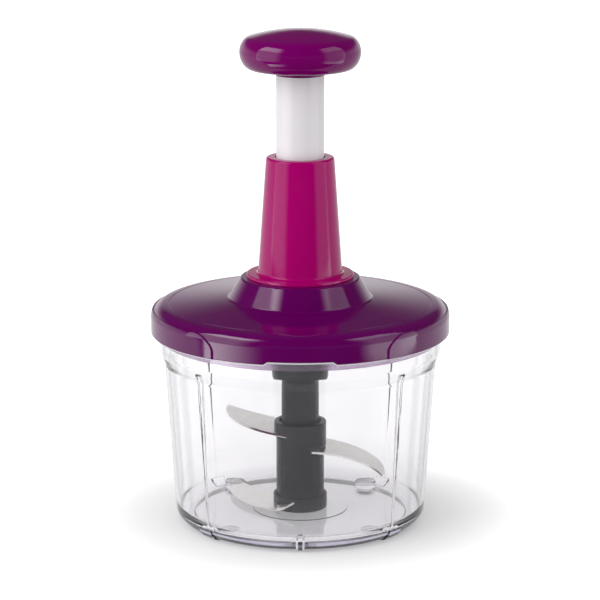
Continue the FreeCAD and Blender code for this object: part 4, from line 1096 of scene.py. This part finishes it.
@dataclass
class Lid:
    """The purple lid with its grip pads and notch, and the parts under it."""

    slope: float = (127.2 - 124.15) / (76.2 - 40.0)
    notch_half_low: float = 19.9
    notch_half_high: float = 17.8
    notch_rise: float = 1.6
    grip_y: float = 68.3
    grip_top: float = 121.0
    grip_round: float = 9.0
    steps: int = 360

    def plate(self, radius: float) -> float:
        """The height of the plate at a radius."""
        return 124.15 + (76.2 - radius) * self.slope

    def build(self) -> list[bpy.types.Object]:
        """Build the lid."""
        purple = PURPLE.material()
        return [self.shell(purple), self.cover(purple), self.seal()]

    def shell(self, purple: bpy.types.Material) -> bpy.types.Object:
        """The lid itself, with two grip pads.

        Args:
            purple: the material.

        Returns:
            The piece.
        """
        form = Form().turn([
            Corner(82.6, 108.4, 0.35, 3), Corner(82.6, 123.5, 6.3, 14),
            Corner(73.45, self.plate(73.45), 0.12, 2),
            Corner(73.4, self.plate(73.4) - 0.25, 0.08, 2),
            Corner(73.0, self.plate(73.0) - 0.25, 0.08, 2),
            Corner(72.95, self.plate(72.95), 0.12, 2),
            Corner(40.0, 127.2, 0.9, 5), Corner(33.2, 139.0, 0.8, 6), Corner(18.7, 139.0),
            Corner(18.7, 136.6), Corner(30.9, 136.6), Corner(37.6, 124.9), Corner(72.3, 121.8),
            Corner(72.3, 107.6), Corner(74.5, 107.6, 0.3, 3), Corner(74.5, 117.0),
            Corner(80.2, 117.0), Corner(80.2, 108.4, 0.3, 2),
        ], steps=self.steps)
        self.add_notch(form)
        for side in (1, -1):
            add_to(form, self.grip(side))
        return form.finish("lid_shell_body", [purple], Body.LID, Slot.PURPLE, ["lid_shell"])

    def add_notch(self, form: Form) -> None:
        """Raise the bottom of the skirt over the lug of the bowl."""
        def skirt(co: Vector) -> bool:
            """Whether a point is on the outside of the skirt, at the front."""
            return co.y < -70 and co.z < 118 and math.hypot(co.x, co.y) > 79 and abs(co.x) < 26

        form.score(both_ways(self.notch_half_low, self.notch_half_high), skirt)
        form.move(lambda co: co.y < 0 and co.z < 109.2 and math.hypot(co.x, co.y) > 79.5,
                  lambda co: Vector((0, 0, self.notch_rise * ramp(abs(co.x), self.notch_half_high,
                                                                  self.notch_half_low))))

    def grip(self, side: int) -> Form:
        """One grip pad: a slice of a slightly larger skirt with round upper corners.

        Args:
            side: 1 for the pad at +X, -1 for the one at -X.

        Returns:
            The mesh of the pad.
        """
        middle = 0.0 if side > 0 else 180.0
        form = Form().turn([
            Corner(81.2, 108.45), Corner(83.4, 108.45, 0.3, 3), Corner(83.4, 124.4, 6.7, 12),
            Corner(75.5, 125.2), Corner(75.5, 122.0), Corner(81.2, 117.0),
        ], steps=150, sweep=(middle - 62.0, middle + 62.0))
        form.cut((0, 0, self.grip_top), (0, 0, 1))
        for end in (1, -1):
            form.cut((0, end * self.grip_y, 0), (0, end, 0))
            for index in range(1, 12):
                angle = math.radians(index * 7.5)
                normal = Vector((0, end * math.cos(angle), math.sin(angle)))
                centre = Vector((0, end * (self.grip_y - self.grip_round),
                                 self.grip_top - self.grip_round))
                form.cut(centre + normal * self.grip_round, normal)
        form.round_edges(self.is_grip_rim, 0.35)
        return form

    def is_grip_rim(self, edge: bmesh.types.BMEdge) -> bool:
        """Whether an edge runs between the face of a grip pad and one of its cut sides."""
        if edge.calc_face_angle(0) < 0.5:
            return False
        middle = (edge.verts[0].co + edge.verts[1].co) / 2
        return middle.z > 108.8 and math.hypot(middle.x, middle.y) > 80.9

    def cover(self, purple: bpy.types.Material) -> bpy.types.Object:
        """The disc under the lid."""
        form = Form().turn([Corner(18.0, 107.6, 0.3, 2), Corner(72.1, 107.6, 0.4, 3),
                            Corner(72.1, 109.6), Corner(18.0, 109.6)], steps=192)
        return form.finish("inner_cover_disc", [purple], Body.LID, Slot.PURPLE, ["inner_cover"])

    def seal(self) -> bpy.types.Object:
        """The soft seal round the plug."""
        form = Form().turn([
            Corner(74.6, 103.9, 0.3, 3), Corner(76.05, 103.9, 0.5, 4), Corner(76.05, 115.6),
            Corner(79.4, 115.6, 0.4, 3), Corner(79.4, 116.95), Corner(74.6, 116.95),
        ], steps=240)
        return form.finish("lid_seal_ring", [SEAL.material()], Body.LID, Slot.SEAL, ["lid_seal"])


@dataclass
class Tower:
    """The magenta guide tower on the boss of the lid."""

    flange_r: float = 29.9
    flange_z: float = 141.2
    foot_r: float = 23.5
    top_r: float = 18.9
    top_z: float = 206.5
    lip_r: float = 13.9

    def build(self) -> list[bpy.types.Object]:
        """Build the tower.

        Returns:
            The pieces.
        """
        form = Form().turn([
            Corner(18.4, 131.0), Corner(18.4, 139.0), Corner(self.flange_r, 139.05, 0.3, 2),
            Corner(self.flange_r, self.flange_z, 0.7, 4),
            Corner(self.foot_r, self.flange_z, 1.5, 5), Corner(self.top_r, self.top_z, 1.2, 6),
            Corner(self.lip_r, self.top_z, 0.3, 3),
            Corner(self.lip_r, 205.2), Corner(16.0, 205.2), Corner(16.0, 133.0),
            Corner(8.6, 133.0), Corner(8.6, 131.0),
        ], steps=192)
        return [form.finish("tower_body", [MAGENTA.material()], Body.LID, Slot.MAGENTA, ["tower"])]


@dataclass
class Plunger:
    """The white tube with the purple knob."""

    tube_r: float = 13.35
    crown: tuple[tuple[float, float], ...] = ((7.0, 276.84), (14.0, 276.07), (21.0, 274.79),
                                              (27.0, 273.29))
    squeeze: float = 0.72

    def build(self) -> list[bpy.types.Object]:
        """Build the plunger."""
        purple = KNOB_PURPLE.material()
        return [self.knob(purple), self.base(purple), self.tube()]

    def knob(self, purple: bpy.types.Material) -> bpy.types.Object:
        """The mushroom cap."""
        crown = [Corner(r, z) for r, z in self.crown]
        form = Form().turn([
            Corner(0, 277.1), *crown, Corner(33.4, 271.4, 4.9, 14), Corner(33.4, 256.2, 6.1, 14),
            Corner(25.55, 254.83, 0.15, 2), Corner(25.55, 262.0), Corner(15.5, 266.0),
            Corner(0, 266.0),
        ], steps=256, loop=False, squeeze=self.squeeze)
        return form.finish("knob_cap", [purple], Body.PLUNGER, Slot.PURPLE, ["knob"])

    def base(self, purple: bpy.types.Material) -> bpy.types.Object:
        """The underside of the knob, with the collar that grips the tube."""
        form = Form().turn([
            Corner(11.95, 251.9), Corner(13.9, 251.9, 0.3, 3), Corner(13.95, 252.9, 0.3, 3),
            Corner(25.35, 254.8, 0.15, 2), Corner(25.35, 257.4), Corner(14.5, 255.5),
            Corner(14.5, 262.2), Corner(11.95, 262.2),
        ], steps=160)
        return form.finish("knob_underside", [purple], Body.PLUNGER, Slot.PURPLE, ["knob_base"])

    def tube(self) -> bpy.types.Object:
        """The tube, with the neck that the knob grips."""
        form = Form().turn([
            Corner(11.6, 192.0), Corner(self.tube_r, 192.0, 0.3, 2), Corner(self.tube_r, 251.9),
            Corner(11.85, 251.9), Corner(11.85, 259.8, 0.3, 2), Corner(1.7, 259.8),
            Corner(1.7, 249.8), Corner(4.2, 249.8), Corner(4.2, 257.8), Corner(10.1, 257.8),
            Corner(10.1, 250.2), Corner(11.6, 246.6),
        ], steps=160)
        return form.finish("plunger_tube_body", [WHITE.material()], Body.PLUNGER, Slot.WHITE,
                           ["plunger_tube"])


@dataclass
class Drive:
    """The dark collar that comes down from the lid and turns the blade shaft."""

    collar_r: float = 15.84
    low_z: float = 78.2

    def build(self) -> list[bpy.types.Object]:
        """Build the collar.

        Returns:
            The pieces.
        """
        form = Form().turn([
            Corner(10.85, self.low_z, 0.2, 2), Corner(self.collar_r, self.low_z, 4.9, 10),
            Corner(self.collar_r, 110.8), Corner(24.5, 110.8, 0.3, 2), Corner(24.5, 112.6),
            Corner(6.1, 112.6), Corner(6.1, 103.6), Corner(11.2, 103.6), Corner(11.2, 84.3),
            Corner(10.85, 84.3),
        ], steps=160)
        return [form.finish("drive_collar", [DARK.material()], Body.DRIVE, Slot.DARK,
                            ["drive_socket"])]


@dataclass
class ReturnSpring:
    """The coil spring in the tower, which the plunger flattens."""

    radius: float = 12.6
    wire: float = 0.65
    low_z: float = 133.0
    high_z: float = 189.0
    coils: int = 8
    steps: int = 32
    closed_share: float = 12.0 / 56.0

    def build(self) -> list[bpy.types.Object]:
        """Wind the spring.

        Returns:
            The pieces.
        """
        form = Form()
        bm = form.bm
        loop = bmesh.ops.create_circle(bm, cap_ends=False, radius=self.wire, segments=12)["verts"]
        form.rotate(math.pi / 2, "X", loop)
        form.shift((self.radius, 0, self.low_z + self.wire + 0.05), loop)
        rise = self.high_z - self.low_z - 2 * self.wire - 0.1
        count = self.coils * self.steps
        rim = list(bm.edges)
        ends = bmesh.ops.spin(bm, geom=[*loop, *rim], cent=(0, 0, 0), axis=(0, 0, 1),
                              dvec=(0, 0, rise / count), angle=-2 * math.pi * self.coils,
                              steps=count, use_merge=False, use_duplicate=False)["geom_last"]
        bmesh.ops.edgeloop_fill(bm, edges=rim)
        bmesh.ops.edgeloop_fill(bm, edges=only(ends, bmesh.types.BMEdge))
        bmesh.ops.recalc_face_normals(bm, faces=bm.faces)
        spring = form.finish("return_spring_wire", [STEEL.material()], Body.LID, Slot.STEEL,
                             ["return_spring"])
        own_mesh(spring)
        return [spring]


@dataclass
class HiddenWorks:
    """The pieces of the frame that keep their own shape, and the finish each of them gets."""

    frame: dict
    steel: tuple[str, ...] = ("pivot_pin", "cover_screws", "tower_screws",
                              "knob_screw", "twist_rod", "thrust_washer")
    nylon: tuple[str, ...] = ("pivot_bush", "guide_bush", "rod_bush", "socket_bush", "drive_nut",
                              "ratchet_pawls", "rod_hub", "ratchet_ring")

    def build(self) -> list[bpy.types.Object]:
        """Dress them.

        Returns:
            The pieces.
        """
        done = []
        for names, finish in ((self.steel, STEEL), (self.nylon, NYLON)):
            material = finish.material()
            for name in names:
                piece = self.frame["nodes"][name]
                piece.data.materials.clear()
                piece.data.materials.append(material)
                log.info("%s keeps its shape, in %s", name, finish.name)
                done.append(piece)
        return done


@dataclass(frozen=True)
class SoftBox:
    """A lamp with a diffuser, which either lights the object or shows in its gloss."""

    name: str
    azimuth: float
    distance: float
    width: float
    low: float
    high: float
    radiance: float
    glossy: bool
    fade_left: float = 0.0
    fade_right: float = 0.0
    lean: float = 0.0

    def place(self) -> bpy.types.Object:
        """Put up the lamp, facing the axis.

        Returns:
            The lamp.
        """
        lamp = bpy.data.lights.new(self.name, "AREA")
        lamp.shape = "RECTANGLE"
        lamp.size = self.width
        lamp.size_y = self.high - self.low
        lamp.energy = self.radiance * math.pi * lamp.size * lamp.size_y
        lamp.use_nodes = True
        self.fade(lamp.node_tree)
        item = bpy.data.objects.new(self.name, lamp)
        bpy.context.scene.collection.objects.link(item)
        out = polar(self.azimuth)
        item.location = out * self.distance + Vector((0, 0, (self.low + self.high) / 2))
        facing = (-out).to_track_quat("-Z", "Y").to_matrix()
        lean = Matrix.Rotation(math.radians(self.lean), 3, "X")
        item.rotation_euler = (facing @ lean).to_euler()
        item.visible_camera = False
        item.visible_diffuse = not self.glossy
        item.visible_glossy = self.glossy
        item.visible_transmission = False
        return item

    def fade(self, tree: bpy.types.NodeTree) -> None:
        """Let the lamp fall off towards its left and right ends."""
        nodes = Nodes(tree)
        glow = nodes.node("ShaderNodeEmission")
        nodes.link(glow.outputs["Emission"], nodes.node("ShaderNodeOutputLight").inputs["Surface"])
        if self.fade_left or self.fade_right:
            across = nodes.split(nodes.node("ShaderNodeNewGeometry").outputs["Parametric"], "X")
            marks = ((0.0, 0.0 if self.fade_left else 1.0), (self.fade_left, 1.0),
                     (1.0 - self.fade_right, 1.0), (1.0, 0.0 if self.fade_right else 1.0))
            nodes.link(nodes.stops(across, marks, "EASE"), glow.inputs["Strength"])


@dataclass
class Studio:
    """The floor, the lamps, the surroundings and the camera."""

    floor_colour: Colour = (0.82, 0.82, 0.82)
    floor_lift: float = 0.25
    floor_lift_in_glass: float = 0.45
    far_lift: float = 0.50
    contact: float = 0.030
    floor_half: float = 9.0
    floor_z: float = -0.0001
    front_dim: float = 0.97
    front_from: Pair = (-0.17, -0.085)
    far_from: Pair = (0.085, 0.17)
    above_dim: float = 0.06
    above_from: Pair = (0.08, 0.34)
    behind_dim: float = 0.15
    behind_from: Pair = (-0.30, 0.20)
    through_dim: float = 0.30
    through_from: Pair = (-0.75, 0.10)
    ambient: float = 0.68
    lamps: tuple[SoftBox, ...] = (
        SoftBox("left_low_gloss", -46.0, 0.28, 0.24, 0.02, 0.10, 6.5, True, 0.05, 0.85),
        SoftBox("left_middle_gloss", -61.0, 0.46, 0.48, 0.10, 0.50, 2.1, True, fade_right=0.35),
        SoftBox("left_high_gloss", -61.0, 0.46, 0.48, 0.50, 0.80, 6.5, True, fade_right=0.35),
        SoftBox("right_low_gloss", 66.5, 0.46, 0.44, 0.002, 0.10, 3.2, True, fade_left=0.3),
        SoftBox("right_middle_gloss", 66.5, 0.46, 0.44, 0.10, 0.50, 1.2, True, fade_left=0.3),
        SoftBox("right_high_gloss", 66.5, 0.46, 0.44, 0.50, 0.80, 2.6, True, fade_left=0.3),
        SoftBox("left_key", -66.0, 1.7, 1.9, 0.3, 1.9, 2.2, False, lean=-22.0),
        SoftBox("right_fill", 55.0, 1.7, 1.1, 0.4, 1.6, 1.2, False, lean=-22.0),
    )
    lens: float = 159.95
    eye: tuple[float, float, float] = (-0.00011, -1.450, 0.46036)
    pitch: float = 13.013

    def build(self) -> None:
        """Set up everything round the object."""
        self.floor()
        self.surroundings()
        for lamp in self.lamps:
            lamp.place()
        self.camera()
        bpy.context.scene.view_settings.view_transform = "Standard"

    def floor(self) -> None:
        """A plain pale floor that keeps the shadow and is white where nothing shades it."""
        bm = bmesh.new()
        bmesh.ops.create_grid(bm, x_segments=1, y_segments=1, size=self.floor_half)
        bmesh.ops.translate(bm, vec=(0, 0, self.floor_z), verts=bm.verts)
        mesh = bpy.data.meshes.new("floor")
        bm.to_mesh(mesh)
        bm.free()
        mesh.materials.append(self.floor_paint())
        item = bpy.data.objects.new("floor", mesh)
        bpy.context.scene.collection.objects.link(item)

    def floor_paint(self) -> bpy.types.Material:
        """The material of the floor, lifted to white for the camera and behind glass.

        Returns:
            The material.
        """
        material = bpy.data.materials.new("Plain pale floor")
        material.use_nodes = True
        nodes = Nodes(material.node_tree)
        path = nodes.node("ShaderNodeLightPath").outputs
        where = nodes.node("ShaderNodeTexCoord").outputs["Object"]
        mirrored = nodes.maths("SUBTRACT", path["Is Glossy Ray"], path["Is Transmission Ray"])
        mirrored = nodes.maths("MAXIMUM", mirrored, 0.0)
        front = nodes.spread(nodes.split(where, "Y"), self.front_dim, 0.0, self.front_from, True)
        kept = nodes.maths("SUBTRACT", 1.0, nodes.maths("MULTIPLY", front, mirrored))
        paint = nodes.node("ShaderNodeVectorMath", operation="SCALE")
        paint.inputs[0].default_value = self.floor_colour
        nodes.link(kept, paint.inputs["Scale"])
        plain = nodes.node("ShaderNodeBsdfDiffuse")
        nodes.link(paint.outputs["Vector"], plain.inputs["Color"])
        reach = nodes.node("ShaderNodeVectorMath", operation="LENGTH")
        nodes.link(where, reach.inputs[0])
        far = nodes.spread(reach.outputs["Value"], 0.0, self.far_lift, self.far_from, True)
        corner = nodes.node("ShaderNodeAmbientOcclusion", samples=8)
        corner.inputs["Distance"].default_value = self.contact
        near = nodes.maths("MULTIPLY", corner.outputs["AO"], self.floor_lift)
        direct = nodes.maths("MULTIPLY", path["Is Camera Ray"], nodes.maths("ADD", near, far))
        gloss = nodes.maths("MULTIPLY", mirrored, nodes.maths("MULTIPLY", kept, self.floor_lift))
        glass = nodes.maths("MULTIPLY", path["Is Transmission Ray"], self.floor_lift_in_glass)
        glow = nodes.node("ShaderNodeEmission")
        nodes.link(nodes.maths("MAXIMUM", nodes.maths("MAXIMUM", direct, gloss), glass),
                   glow.inputs["Strength"])
        both = nodes.node("ShaderNodeAddShader")
        nodes.link(plain.outputs["BSDF"], both.inputs[0])
        nodes.link(glow.outputs["Emission"], both.inputs[1])
        nodes.link(both.outputs["Shader"], nodes.node("ShaderNodeOutputMaterial").inputs["Surface"])
        return material

    def surroundings(self) -> None:
        """White behind the object where it is seen, dimmer above, and an even soft light."""
        world = bpy.data.worlds.new("studio")
        bpy.context.scene.world = world
        world.use_nodes = True
        nodes = Nodes(world.node_tree)
        path = nodes.node("ShaderNodeLightPath").outputs
        where = nodes.node("ShaderNodeTexCoord").outputs["Generated"]
        depth = nodes.split(where, "Y")
        above = nodes.spread(nodes.split(where, "Z"), 1.0, self.above_dim, self.above_from, True)
        behind = nodes.spread(depth, self.behind_dim, 1.0, self.behind_from, True)
        through = nodes.spread(depth, self.through_dim, 1.0, self.through_from, True)
        through = nodes.maths("MULTIPLY", path["Is Transmission Ray"], through)
        dimmed = nodes.maths("MULTIPLY", above, behind)
        level = nodes.maths("MAXIMUM", nodes.maths("MAXIMUM", dimmed, through),
                            path["Is Camera Ray"])
        seen = nodes.maths("MAXIMUM", path["Is Camera Ray"], path["Is Glossy Ray"])
        pick = nodes.node("ShaderNodeMixShader")
        nodes.link(nodes.maths("MAXIMUM", seen, path["Is Transmission Ray"]), pick.inputs[0])
        for index, strength in ((1, self.ambient), (2, level)):
            light = nodes.node("ShaderNodeBackground")
            light.inputs["Color"].default_value = (1, 1, 1, 1)
            if isinstance(strength, float):
                light.inputs["Strength"].default_value = strength
            else:
                nodes.link(strength, light.inputs["Strength"])
            nodes.link(light.outputs["Background"], pick.inputs[index])
        nodes.link(pick.outputs["Shader"], nodes.node("ShaderNodeOutputWorld").inputs["Surface"])

    def camera(self) -> None:
        """The camera of the photograph."""
        data = bpy.data.cameras.new("camera")
        data.lens = self.lens
        data.sensor_width = 36.0
        data.clip_end = 100.0
        item = bpy.data.objects.new("camera", data)
        item.location = self.eye
        item.rotation_euler = (math.pi / 2 - math.radians(self.pitch), 0, 0)
        bpy.context.scene.collection.objects.link(item)
        bpy.context.scene.camera = item


def main() -> None:
    """Build the chopper and its studio, and report each piece."""
    logging.basicConfig(level=logging.INFO, format="%(name)s: %(message)s")
    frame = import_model()
    Studio().build()
    for assembly in (Bowl(), BladeUnit(), Lid(), Tower(), Plunger(), Drive(), ReturnSpring(),
                     HiddenWorks(frame)):
        pieces = assembly.build()
        log.info("%s: %d pieces", type(assembly).__name__, len(pieces))


if __name__ == "__main__":
    main()
